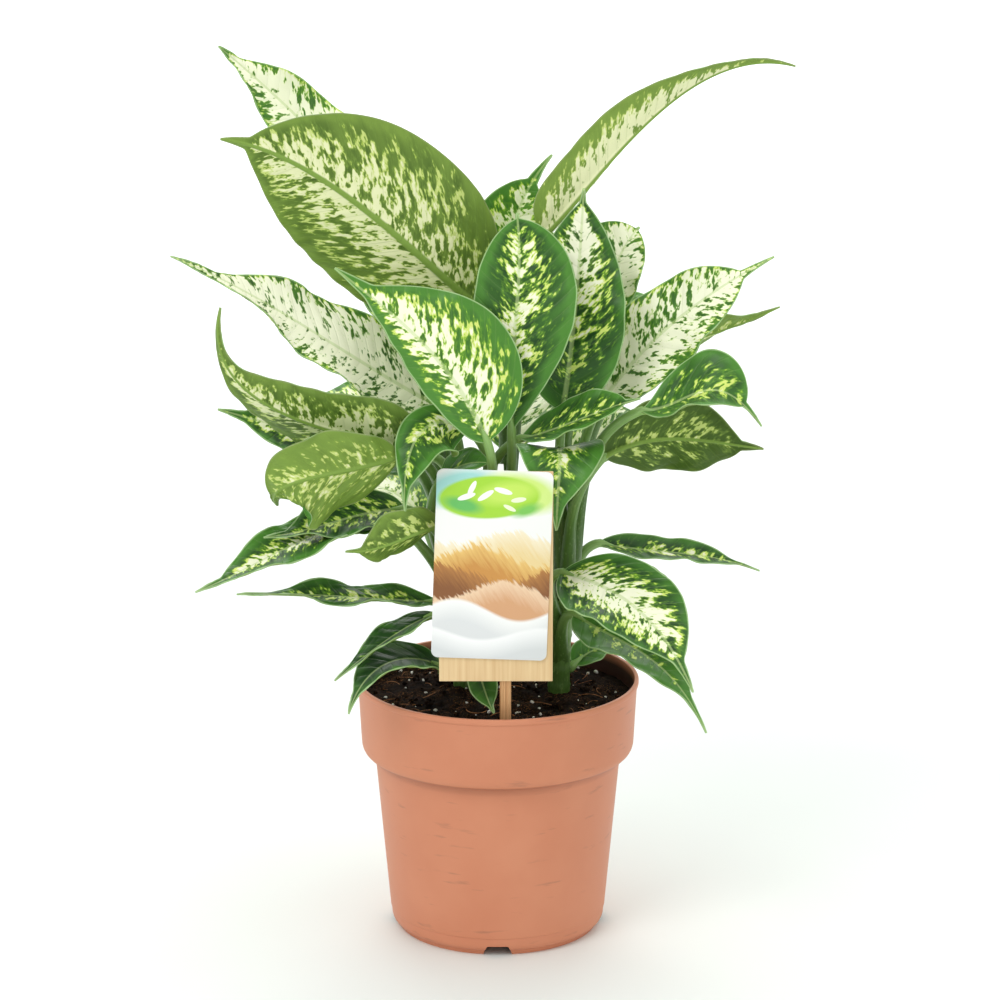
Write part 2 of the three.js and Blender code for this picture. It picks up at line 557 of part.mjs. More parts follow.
/** The middle surface of a blade: t runs from base to tip, v from the left edge (-1) to the right (1). */
function bladePoint(leaf, curve, t, v) {
  const along = curve.getTangent(t);
  const facing = vector(leaf.faces[0]).lerp(vector(leaf.faces[1]), t);
  const up = facing.addScaledVector(along, -facing.dot(along)).normalize();
  const side = new THREE.Vector3().crossVectors(along, up);
  const half = halfWidth(leaf, t, Math.sign(v));
  const reach = Math.abs(v);
  const fold = THREE.MathUtils.degToRad(leaf.fold ?? DEFAULT_FOLD);
  const curl = THREE.MathUtils.degToRad(leaf.curl ?? DEFAULT_CURL);
  const out = (half * (Math.sin(fold + curl * reach) - Math.sin(fold))) / curl;
  const lift = (half * (Math.cos(fold) - Math.cos(fold + curl * reach))) / curl;
  const start = (leaf.phase ?? 0) + (v < 0 ? 0 : RIGHT_PHASE);
  const swing = Math.sin(2 * Math.PI * leaf.waves * t + start) * Math.sin(Math.PI * t);
  return curve.getPoint(t)
    .addScaledVector(side, Math.sign(v) * out)
    .addScaledVector(up, lift + leaf.wave * swing * reach * reach);
}

/** One ring round the blade: its upper face from left to right, then its underside back again. */
function bladeRing(leaf, curve, t) {
  const upper = [];
  const lower = [];
  const step = 0.01;
  const before = Math.max(0, t - step);
  const after = Math.min(1, t + step);
  for (let j = 0; j <= BLADE_COLUMNS; j += 1) {
    const v = (2 * j) / BLADE_COLUMNS - 1;
    const middle = bladePoint(leaf, curve, t, v);
    const along = bladePoint(leaf, curve, after, v).sub(bladePoint(leaf, curve, before, v));
    const across = bladePoint(leaf, curve, t, v + step).sub(bladePoint(leaf, curve, t, v - step));
    const normal = new THREE.Vector3().crossVectors(across, along).normalize();
    const keel = v === 0 ? KEEL_DEPTH * (1 - t) : 0;
    upper.push(middle.clone().addScaledVector(normal, BLADE_THICKNESS / 2));
    lower.unshift(middle.clone().addScaledVector(normal, -BLADE_THICKNESS / 2 - keel));
  }
  return [...upper, ...lower];
}

function makeBlade(leaf) {
  const curve = curveThrough(leaf.rib.map(vector));
  const rings = [];
  for (let i = 0; i <= BLADE_ROWS; i += 1) {
    const s = i / BLADE_ROWS;
    const t = s - (END_CLUSTER * Math.sin(2 * Math.PI * s)) / (2 * Math.PI);
    rings.push(bladeRing(leaf, curve, t));
  }
  return piece(leaf.name, loft(rings), leaf.pale ? paleLeaf() : leafGreen());
}

/** A round ring about a centre, square to a direction, starting on the side of a hint. */
function roundRing(centre, along, hint, radius, sides) {
  const first = hint.clone().addScaledVector(along, -hint.dot(along)).normalize();
  const second = new THREE.Vector3().crossVectors(along, first);
  const spokes = Array.from({ length: sides }, (_, k) => (2 * Math.PI * k) / sides);
  return spokes.map((turn) => centre.clone()
    .addScaledVector(first, radius * Math.cos(turn))
    .addScaledVector(second, radius * Math.sin(turn)));
}

/** The middle of a cane at a height: upright through the soil, then leaning over to its top. */
function caneCentre(cane, z) {
  const lean = THREE.MathUtils.smoothstep(z, CANE_LEAN_Z, 2 * cane.top[2] - CANE_LEAN_Z) * 2;
  const x = THREE.MathUtils.lerp(cane.foot[0], cane.top[0], lean);
  const y = THREE.MathUtils.lerp(cane.foot[1], cane.top[1], lean);
  return new THREE.Vector3(x, y, z);
}

/** A level ring round the cane at a height. */
function caneRing(cane, z) {
  const share = (z - SOCKET_FLOOR_Z) / (cane.top[2] - SOCKET_FLOOR_Z);
  const radius = THREE.MathUtils.lerp(CANE_FOOT_RADIUS, CANE_TOP_RADIUS, share);
  return roundRing(caneCentre(cane, z), UP, AHEAD, radius, CANE_SIDES);
}

/** A leaf stalk: it leaves the cane upwards and bends over to meet the midrib end to end. */
function makeStalk(cane, leaf) {
  const start = caneCentre(cane, leaf.stalkFrom);
  const midrib = curveThrough(leaf.rib.map(vector));
  const along = midrib.getTangent(0);
  const end = midrib.getPoint(0).addScaledVector(along, -SEAT_GAP);
  const span = start.distanceTo(end);
  const out = end.clone().sub(start).setZ(0).multiplyScalar(STALK_SPREAD);
  const firstHandle = start.clone().add(out).addScaledVector(UP, STALK_RISE * span);
  const secondHandle = end.clone()
    .addScaledVector(along, -STALK_NECK * span)
    .addScaledVector(UP, -STALK_DROP * span);
  const path = new THREE.CubicBezierCurve3(start, firstHandle, secondHandle, end);
  const rings = [];
  for (let i = 0; i <= STALK_STEPS; i += 1) {
    const share = i / STALK_STEPS;
    const facing = i < STALK_STEPS ? path.getTangentAt(share) : along;
    const radius = THREE.MathUtils.lerp(STALK_FOOT_RADIUS, STALK_TIP_RADIUS, share);
    rings.push(roundRing(path.getPointAt(share), facing, AHEAD, radius, STALK_SIDES));
  }
  return loft(rings);
}

function makeCane(cane) {
  const levels = [SOCKET_FLOOR_Z, CANE_LEAN_Z];
  for (let i = 1; i <= CANE_STEPS; i += 1) {
    levels.push(THREE.MathUtils.lerp(CANE_LEAN_Z, cane.top[2], i / CANE_STEPS));
  }
  let solid = toSolid(loft(levels.map((z) => caneRing(cane, z))));
  for (const leaf of LEAVES.filter((entry) => entry.cane === cane.name)) {
    solid = solid.add(toSolid(makeStalk(cane, leaf)));
  }
  return piece(cane.name, toGeometry(solid), stalkGreen());
}

// ---------------------------------------------------------------------------------------------
// Care label: a grooved stick, a tan card behind and a white card in front
// ---------------------------------------------------------------------------------------------

const LABEL = {
  stick: { x: 4.6, y: -70, top: 296 },
  back: { x: -1, y: -71.6, low: 175, width: 66, height: 126, corner: 0.5 },
  front: { x: -5.2, y: -73, low: 189, width: 67, height: 113, corner: 4 },
  tab: { x: 3, footWidth: 4, topWidth: 3, height: 3.8 }, // stands on the front card
};

/** A card with rounded corners, standing on its lower edge at the middle of its width. */
function makeCard({ x, y, low, width, height, corner }, tilt, tab) {
  const inner = width / 2 - corner;
  const outline = new THREE.Shape();
  outline.moveTo(-inner, 0);
  outline.absarc(inner, corner, corner, -Math.PI / 2, 0);
  outline.absarc(inner, height - corner, corner, 0, Math.PI / 2);
  if (tab) {
    outline.lineTo(tab.x + tab.footWidth / 2, height);
    outline.lineTo(tab.x + tab.topWidth / 2, height + tab.height);
    outline.lineTo(tab.x - tab.topWidth / 2, height + tab.height);
    outline.lineTo(tab.x - tab.footWidth / 2, height);
  }
  outline.absarc(-inner, height - corner, corner, Math.PI / 2, Math.PI);
  outline.absarc(-inner, corner, corner, Math.PI, 1.5 * Math.PI);
  const card = new THREE.ExtrudeGeometry(outline, {
    depth: CARD_THICKNESS, bevelEnabled: false, curveSegments: CARD_CORNER_STEPS,
  });
  card.rotateX(Math.PI / 2);
  card.rotateY(tilt);
  card.translate(x, y, low);
  return card;
}

function makeStick() {
  const { x, y, top } = LABEL.stick;
  const half = STICK_WIDTH / 2;
  const front = -STICK_THICKNESS / 2;
  const section = new THREE.Shape([
    flat(-half, front),
    flat(-STICK_GROOVE_PLACE - STICK_GROOVE, front),
    flat(-STICK_GROOVE_PLACE, front + STICK_GROOVE),
    flat(-STICK_GROOVE_PLACE + STICK_GROOVE, front),
    flat(STICK_GROOVE_PLACE - STICK_GROOVE, front),
    flat(STICK_GROOVE_PLACE, front + STICK_GROOVE),
    flat(STICK_GROOVE_PLACE + STICK_GROOVE, front),
    flat(half, front),
    flat(half, -front),
    flat(-half, -front),
  ]);
  const stick = new THREE.ExtrudeGeometry(section, { depth: top - SOCKET_FLOOR_Z, bevelEnabled: false });
  stick.translate(x, y, SOCKET_FLOOR_Z);
  return piece("label_stick", stick, paleWood());
}

// ---------------------------------------------------------------------------------------------
// The whole plant
// ---------------------------------------------------------------------------------------------

const plant = new THREE.Group();
plant.add(makePot(), makeSoil());
plant.add(...CANES.map(makeCane));
plant.add(...LEAVES.map(makeBlade));
plant.add(makeStick());
plant.add(piece("label_back_card", makeCard(LABEL.back, 0), tanCard()));
plant.add(piece("label_front_card", makeCard(LABEL.front, LABEL_TILT, LABEL.tab), whiteCard()));

export default plant;
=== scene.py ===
"""A dieffenbachia in a 17 cm plastic nursery pot, with a care label on a stick.

Metres, +Z up. The origin is on the floor under the pot's axis, and the label stands at the front,
towards -Y. Tables of real sizes are in millimetres, and MM turns them into metres.
"""

import logging
import math
import random
from collections.abc import Callable, Iterator
from contextlib import contextmanager
from dataclasses import dataclass, field
from enum import Enum

import bpy
import numpy as np
from mathutils import Matrix, Vector, noise


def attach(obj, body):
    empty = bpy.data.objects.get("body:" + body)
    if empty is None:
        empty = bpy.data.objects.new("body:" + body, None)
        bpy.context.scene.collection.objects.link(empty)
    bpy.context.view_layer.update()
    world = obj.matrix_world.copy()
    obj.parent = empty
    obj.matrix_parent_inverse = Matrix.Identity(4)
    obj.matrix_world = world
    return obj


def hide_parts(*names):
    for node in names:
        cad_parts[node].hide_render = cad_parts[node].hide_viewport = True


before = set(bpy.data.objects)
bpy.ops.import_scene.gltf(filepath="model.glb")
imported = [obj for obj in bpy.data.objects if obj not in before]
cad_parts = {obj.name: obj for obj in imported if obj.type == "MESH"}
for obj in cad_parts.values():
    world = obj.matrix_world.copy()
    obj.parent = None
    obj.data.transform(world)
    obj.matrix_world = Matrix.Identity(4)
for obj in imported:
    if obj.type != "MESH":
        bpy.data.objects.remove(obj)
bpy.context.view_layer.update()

LOG = logging.getLogger("dieffenbachia")
MM = 0.001
BODY = "root"
Point = tuple[float, float, float]
Profile = list[tuple[float, float]]
Piece = bpy.types.Object
Material = bpy.types.Material
Tree = bpy.types.NodeTree
Socket = bpy.types.NodeSocket
Coat = tuple[Socket, float, float, float, str | Socket]


# ---------------------------------------------------------------------------------------------
# Modelling helpers
# ---------------------------------------------------------------------------------------------


def select_only(*pieces: Piece) -> None:
    """Selects some pieces and nothing else, with the first one active.

    Args:
        pieces: The pieces.
    """
    bpy.ops.object.select_all(action="DESELECT")
    for piece in pieces:
        piece.select_set(True)
    bpy.context.view_layer.objects.active = pieces[0]


def primitive(name: str, kind: str, **settings: object) -> Piece:
    """Adds one of Blender's mesh primitives with nothing else selected.

    Args:
        name: The new object's name.
        kind: The primitive, such as "grid" or "circle".
        settings: The operator's own settings.

    Returns:
        The new object, with its place in its mesh.
    """
    bpy.ops.object.select_all(action="DESELECT")
    getattr(bpy.ops.mesh, f"primitive_{kind}_add")(**settings)
    bpy.ops.object.transform_apply(location=True, rotation=True, scale=True)
    made = bpy.context.object
    made.name = made.data.name = name
    return made


def points_of(piece: Piece) -> np.ndarray:
    """Reads where a piece's vertices are.

    Args:
        piece: The piece.

    Returns:
        An array with a row for each vertex.
    """
    flat = np.empty(len(piece.data.vertices) * 3, dtype=np.float32)
    piece.data.vertices.foreach_get("co", flat)
    return flat.reshape(-1, 3).astype(float)


def move_points(piece: Piece, points: np.ndarray) -> None:
    """Moves the piece's vertices to new points."""
    piece.data.vertices.foreach_set("co", points.astype(np.float32).ravel())
    piece.data.update()


def store(piece: Piece, name: str, *columns: np.ndarray) -> None:
    """Stores one number or three for each vertex, which a material reads by name.

    Args:
        piece: The piece.
        name: The name that the material reads.
        columns: One array or three, with a number for each vertex.
    """
    kind, entry = ("FLOAT", "value") if len(columns) == 1 else ("FLOAT_VECTOR", "vector")
    layer = piece.data.attributes.new(name, kind, "POINT")
    layer.data.foreach_set(entry, np.stack(columns, 1).astype(np.float32).ravel())


@contextmanager
def editing(piece: Piece, test: Callable[[Vector, Vector], bool] | None = None) -> Iterator[None]:
    """Edits a piece in edit mode, with all of it selected, or only some of its edges.

    Args:
        piece: The piece.
        test: Tells from an edge's two ends whether the edge is selected.
    """
    select_only(piece)
    bpy.context.tool_settings.mesh_select_mode = (test is None, test is not None, False)
    bpy.ops.object.mode_set(mode="EDIT")
    bpy.ops.mesh.select_all(action="SELECT" if test is None else "DESELECT")
    if test:
        bpy.ops.object.mode_set(mode="OBJECT")
        for edge in piece.data.edges:
            edge.select = test(*(piece.data.vertices[i].co for i in edge.vertices))
        bpy.ops.object.mode_set(mode="EDIT")
    yield
    bpy.ops.object.mode_set(mode="OBJECT")


def draw_rings(rings: Profile) -> None:
    """Draws the selected ring on through a profile, closes its end and turns all faces outwards.

    Args:
        rings: The profile as (radius, height) in millimetres, with the selected ring first.
    """
    for (radius, height), (next_radius, next_height) in zip(rings, rings[1:]):
        share = next_radius / radius
        bpy.ops.mesh.extrude_region_move()
        bpy.ops.transform.resize(value=(share, share, 1), center_override=(0, 0, height * MM))
        bpy.ops.transform.translate(value=(0, 0, (next_height - height) * MM))
    bpy.ops.mesh.edge_face_add()
    bpy.ops.mesh.select_all(action="SELECT")
    bpy.ops.mesh.fill_holes(sides=0)
    bpy.ops.mesh.select_all(action="SELECT")
    bpy.ops.mesh.normals_make_consistent(inside=False)


def apply(piece: Piece, kind: str, **settings: object) -> None:
    """Adds a modifier and applies it.

    Args:
        piece: The piece.
        kind: The modifier's type.
        settings: The modifier's own settings.
    """
    select_only(piece)
    modifier = piece.modifiers.new(kind.lower(), kind)
    for name, value in settings.items():
        setattr(modifier, name, value)
    bpy.ops.object.modifier_apply(modifier=modifier.name)


def combine(piece: Piece, tool: Piece, operation: str) -> None:
    """Cuts a tool out of a piece or adds it to the piece, and removes the tool."""
    apply(piece, "BOOLEAN", object=tool, operation=operation, solver="EXACT")
    bpy.data.objects.remove(tool)


def join(name: str, parts: list[Piece]) -> Piece:
    """Joins several objects into the first one.

    Args:
        name: The joined object's name.
        parts: The objects.

    Returns:
        The joined object.
    """
    select_only(*parts)
    bpy.ops.object.join()
    parts[0].name = parts[0].data.name = name
    return parts[0]


def hand_over(
    piece: Piece, finishes: list[Material], slot: str, *replaced: str, crisp: float = 50.0
) -> None:
    """Shades a finished piece smooth, dresses it and makes it ride on the part's body.

    Args:
        piece: The finished piece.
        finishes: Its materials, in the order of its material indices.
        slot: The material slot of the part that its finish belongs to.
        replaced: The plain solids that it stands for.
        crisp: Edges sharper than this, in degrees, stay crisp.
    """
    select_only(piece)
    bpy.ops.object.shade_smooth_by_angle(angle=math.radians(crisp))
    while len(piece.data.materials) < len(finishes):
        piece.data.materials.append(None)
    for k, material in enumerate(finishes):
        piece.data.materials[k] = material
    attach(piece, BODY)
    if replaced:
        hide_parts(*replaced)
    LOG.info("%s: %d faces, %s", piece.name, len(piece.data.polygons), slot)


def smoothstep(low: float, high: float, values: np.ndarray) -> np.ndarray:
    """Rises smoothly from 0 at low to 1 at high."""
    share = np.clip((values - low) / (high - low), 0, 1)
    return share * share * (3 - 2 * share)


def unit(rows: np.ndarray) -> np.ndarray:
    """Scales each row of an array to length 1."""
    return rows / np.linalg.norm(rows, axis=-1, keepdims=True)


def bow(share: np.ndarray, *ends: np.ndarray) -> np.ndarray:
    """Draws a bowed curve.

    Args:
        share: How far along the curve each point is.
        ends: The curve's start, the point it leaves towards, the point it comes in from and its end.

    Returns:
        The points of the curve.
    """
    start, first, second, end = ends
    s = share[..., None]
    return (1 - s) ** 3 * start + 3 * s * (1 - s) ** 2 * first + 3 * s * s * (1 - s) * second + s**3 * end


def run_along(path: Callable[[np.ndarray], np.ndarray], share: np.ndarray, steps: int) -> np.ndarray:
    """Measures how far along a path some places lie.

    Args:
        path: Gives points for shares of the path.
        share: The places, as shares of the path.
        steps: How many points the path is measured by.

    Returns:
        The distances from the path's start.
    """
    fine = np.linspace(0, 1, steps)
    lengths = np.linalg.norm(np.diff(path(fine), axis=0), axis=1)
    return np.interp(share, fine, np.concatenate(([0], np.cumsum(lengths))))


# ---------------------------------------------------------------------------------------------
# Finishes
# ---------------------------------------------------------------------------------------------


def linear(shade: str) -> tuple[float, float, float, float]:
    """Turns an sRGB colour into a linear one.

    Args:
        shade: The colour, such as #d58e70.

    Returns:
        Linear red, green, blue and alpha.
    """
    channels = [int(shade[i : i + 2], 16) / 255 for i in (1, 3, 5)]
    bright = [c / 12.92 if c <= 0.04045 else ((c + 0.055) / 1.055) ** 2.4 for c in channels]
    return (*bright, 1.0)


def feed(tree: Tree, node: bpy.types.Node, inputs: dict) -> None:
    """Sets or links a node's inputs.

    Args:
        tree: The material's node tree.
        node: The node.
        inputs: Plain values, sRGB colours or other nodes' sockets, by input name or number.
    """
    for key, value in inputs.items():
        if isinstance(value, Socket):
            tree.links.new(value, node.inputs[key])
        else:
            node.inputs[key].default_value = linear(value) if isinstance(value, str) else value


def add_node(
    tree: Tree, kind: str, inputs: dict | None = None, output: int | str = 0, **settings: object
) -> Socket:
    """Adds a shader node with its settings and links.

    Args:
        tree: The material's node tree.
        kind: The node's type, without the ShaderNode that every type starts with.
        inputs: Values, colours or other nodes' sockets, by input name or number.
        output: The output that is wanted.
        settings: The node's own settings.

    Returns:
        The wanted output socket.
    """
    node = tree.nodes.new(f"ShaderNode{kind}")
    for name, value in settings.items():
        setattr(node, name, value)
    feed(tree, node, inputs or {})
    return node.outputs[output]


def coated(tree: Tree, ground: str | Socket, *coats: Coat) -> Socket:
    """Lays colours over a ground, one after another.

    Args:
        tree: The material's node tree.
        ground: The colour underneath.
        coats: For each colour that is laid on: the pattern it follows, the values of the pattern at
            which it starts and is full, how much of it there is where it is full, and the colour.

    Returns:
        The colour on top.
    """
    colour = ground
    for pattern, start, full, most, shade in coats:
        share = add_node(tree, "MapRange", {0: pattern, 1: start, 2: full, 4: most})
        colour = add_node(tree, "Mix", {0: share, 6: colour, 7: shade}, 2, data_type="RGBA")
    return colour


def stretched(
    tree: Tree, place: Socket, size: Point, detail: float, roughness: float = 0.5, distortion: float = 0.0
) -> Socket:
    """Lays out a random pattern whose grains are longer one way than another.

    Args:
        tree: The material's node tree.
        place: The place on the piece that it follows.
        size: The grains' real size along each axis, in the unit of place.
        detail: How many finer layers it has.
        roughness: How strong the finer layers are.
        distortion: How far the grains are bent.

    Returns:
        The pattern, from 0 to 1.
    """
    scaled = add_node(tree, "VectorMath", {0: place, 1: [1 / side for side in size]}, operation="MULTIPLY")
    settings = {"Vector": scaled, "Scale": 1.0, "Detail": detail}
    return add_node(tree, "TexNoise", settings | {"Roughness": roughness, "Distortion": distortion})


@dataclass(frozen=True)
class Finish:
    """What every finish has: a maker's name, how rough the surface is and how strongly it mirrors."""

    name: str
    roughness: float
    specular: float = 0.5

    def looks(self, tree: Tree) -> dict[str, Socket | str]:
        """Lays out its looks.

        Args:
            tree: The material's node tree.

        Returns:
            What feeds the shader, by the names of its inputs.
        """
        raise NotImplementedError

    def make(self) -> Material:
        """Returns the finished material."""
        material = bpy.data.materials.new(self.name)
        material.use_nodes = True
        tree = material.node_tree
        skin = {"Roughness": self.roughness, "Specular IOR Level": self.specular}
        feed(tree, tree.nodes["Principled BSDF"], skin | self.looks(tree))
        return material


@dataclass(frozen=True)
class MouldedPolypropylene(Finish):
    """Injection-moulded polypropylene of a nursery pot: an even satin terracotta colour, a little
    paler where it is rubbed, with faint scuffs, a wall that potting-mix stain and painted shade
    darken inside, and painted shade in the corner under the collar."""

    name: str = "moulded_terracotta_polypropylene"
    roughness: float = 0.46
    specular: float = 0.35
    body: str = "#cf8564"
    faded: str = "#d48c6b"
    # potting-mix stain and painted shade on the inside of the wall
    stain_and_shade: str = "#43251b"
    scuff: str = "#9c6a54"
    # painted shade under the collar
    collar_shade: str = "#93553f"
    stain_and_shade_top: float = 0.1535  # the inside of the wall has potting-mix stain and painted shade below this height
    crease: float = 0.110  # where the collar steps out of the body

    def looks(self, tree: Tree) -> dict[str, Socket | str]:
        """Lays out its colour, gloss and relief.

        Args:
            tree: The material's node tree.

        Returns:
            What feeds the shader, by the names of its inputs.
        """
        place = add_node(tree, "TexCoord", output="Object")
        clouds = add_node(tree, "TexNoise", {"Vector": place, "Scale": 1 / 0.045, "Detail": 3.0})
        # Scuffs lie along the wall, 25 mm long and 4 mm high, and few of them show.
        rubs = stretched(tree, place, (0.025, 0.025, 0.004), 4.0)
        # The inside of the wall faces the pot's axis.
        facing = add_node(tree, "NewGeometry", output="Normal")
        level = add_node(tree, "VectorMath", {0: facing, 1: (1, 1, 0)}, operation="MULTIPLY")
        outwards = add_node(tree, "VectorMath", {0: place, 1: level}, "Value", operation="DOT_PRODUCT")
        inside = add_node(tree, "MapRange", {0: outwards, 1: -0.02, 2: -0.04})
        height = add_node(tree, "SeparateXYZ", {0: place}, "Z")
        # Inside the wall, below the rim, potting-mix stain and painted shade darken the plastic.
        below = add_node(tree, "MapRange", {0: height, 1: self.stain_and_shade_top, 2: self.stain_and_shade_top - 0.004})
        stain_and_shade_mask = add_node(tree, "Math", {0: inside, 1: below}, operation="MULTIPLY")
        # Painted shade in the corner under the collar, thinning out 6 mm below it.
        near = add_node(tree, "MapRange", {0: height, 1: self.crease - 0.006, 2: self.crease, 4: 0.6})
        under = add_node(tree, "MapRange", {0: height, 1: self.crease + 0.002, 2: self.crease + 0.001})
        collar_shade_mask = add_node(tree, "Math", {0: near, 1: under}, operation="MULTIPLY")
        colour = coated(
            tree,
            self.body,
            (clouds, 0.4, 0.68, 1.0, self.faded),
            (rubs, 0.64, 0.76, 0.5, self.scuff),
            (stain_and_shade_mask, 0.0, 1.0, 1.0, self.stain_and_shade),
            (collar_shade_mask, 0.0, 1.0, 1.0, self.collar_shade),
        )
        # The mould's fine eroded texture, 0.6 mm from grain to grain, on a wall that waves a little.
        grain = add_node(tree, "TexNoise", {"Vector": place, "Scale": 1 / 0.0006, "Detail": 2.0})
        wavy = add_node(tree, "TexNoise", {"Vector": place, "Scale": 1 / 0.02, "Detail": 1.0})
        relief = add_node(tree, "Math", {0: wavy, 1: 6.0, 2: grain}, operation="MULTIPLY_ADD")
        bump = add_node(tree, "Bump", {"Height": relief, "Distance": 0.00006, "Strength": 0.6}, "Normal")
        gloss = add_node(tree, "MapRange", {0: clouds, 1: 0.3, 2: 0.7, 3: 0.4, 4: 0.54})
        return {"Base Color": colour, "Roughness": gloss, "Normal": bump}


@dataclass(frozen=True)
class Peat(Finish):
    """Damp peat mix: nearly black crumbs with brown and rusty fibres, dull and very rough."""

    name: str = "damp_peat"
    roughness: float = 0.95
    specular: float = 0.12
    wet: str = "#0b0705"
    damp: str = "#2c1b11"
    dry: str = "#8f623f"

    def looks(self, tree: Tree) -> dict[str, Socket | str]:
        """Lays out its colour and relief.

        Args:
            tree: The material's node tree.

        Returns:
            What feeds the shader, by the names of its inputs.
        """
        place = add_node(tree, "TexCoord", output="Object")
        # Crumbs of 4 mm, and fibres of 1.6 mm that show in dry patches 30 mm wide.
        crumbs = add_node(
            tree, "TexNoise", {"Vector": place, "Scale": 1 / 0.004, "Detail": 6.0, "Roughness": 0.7}
        )
        fibres = add_node(
            tree, "TexNoise", {"Vector": place, "Scale": 1 / 0.0016, "Detail": 3.0, "Distortion": 2.0}
        )
        patch = add_node(tree, "TexNoise", {"Vector": place, "Scale": 1 / 0.03, "Detail": 2.0})
        patchy = add_node(tree, "MapRange", {0: patch, 1: 0.38, 2: 0.56})
        dry = add_node(tree, "MapRange", {0: fibres, 1: 0.55, 2: 0.68, 4: 0.85})
        dry = add_node(tree, "Math", {0: dry, 1: patchy}, operation="MULTIPLY")
        colour = coated(tree, self.wet, (crumbs, 0.38, 0.66, 1.0, self.damp), (dry, 0.0, 1.0, 1.0, self.dry))
        bump = add_node(tree, "Bump", {"Height": crumbs, "Distance": 0.003, "Strength": 0.9}, "Normal")
        return {"Base Color": colour, "Normal": bump}


@dataclass(frozen=True)
class Grit(Finish):
    """Loose bits in the mix, each broken rough: one colour with a paler and a darker side."""

    name: str = "expanded_perlite"
    roughness: float = 0.85
    dark: str = "#d8d1c6"
    pale: str = "#fbf9f4"

    def looks(self, tree: Tree) -> dict[str, Socket | str]:
        """Lays out its colour and relief, with grains of 2 mm.

        Args:
            tree: The material's node tree.

        Returns:
            What feeds the shader, by the names of its inputs.
        """
        place = add_node(tree, "TexCoord", output="Object")
        grains = add_node(tree, "TexNoise", {"Vector": place, "Scale": 1 / 0.002, "Detail": 3.0})
        bump = add_node(tree, "Bump", {"Height": grains, "Distance": 0.0006, "Strength": 0.8}, "Normal")
        return {"Base Color": coated(tree, self.dark, (grains, 0.35, 0.6, 1.0, self.pale)), "Normal": bump}


@dataclass(frozen=True)
class StalkSkin(Finish):
    """Smooth fleshy skin of stalks and canes: deep green at the foot, paler green above, with fine
    lengthwise streaks and small pale flecks. It is satin, with a soft broad highlight."""

    name: str = "fleshy_stalk_skin"
    roughness: float = 0.36
    foot: str = "#37521c"
    middle: str = "#4f7230"
    top: str = "#8db364"
    fleck: str = "#a3c07c"

    def looks(self, tree: Tree) -> dict[str, Socket | str]:
        """Lays out its colour and relief.

        A tube stores, for each vertex, stalk_place (millimetres round and along it, and a number of
        its own) and stalk_share (the share of its length).

        Args:
            tree: The material's node tree.

        Returns:
            What feeds the shader, by the names of its inputs.
        """
        place = add_node(tree, "Attribute", output="Vector", attribute_name="stalk_place")
        share = add_node(tree, "Attribute", output="Fac", attribute_name="stalk_share")
        # Streaks are 0.8 mm wide and 25 mm long, and flecks 1.4 mm wide and 3.5 mm long.
        streaks = stretched(tree, place, (0.8, 25.0, 1.0), 2.0)
        flecks = stretched(tree, place, (1.4, 3.5, 1.0), 2.0)
        rise = add_node(tree, "Math", {0: streaks, 1: 0.35, 2: share}, operation="MULTIPLY_ADD")
        colour = coated(
            tree,
            self.foot,
            (rise, 0.1, 0.6, 1.0, self.middle),
            (rise, 0.6, 1.15, 1.0, self.top),
            (flecks, 0.58, 0.68, 0.22, self.fleck),
        )
        bump = add_node(tree, "Bump", {"Height": streaks, "Distance": 0.0003, "Strength": 0.5}, "Normal")
        return {"Base Color": colour, "Normal": bump}


class LeafSide(Enum):
    """The side of a blade, with the way its veins stand: sunken above and raised below."""

    UPPER = -1.0
    UNDER = 1.0


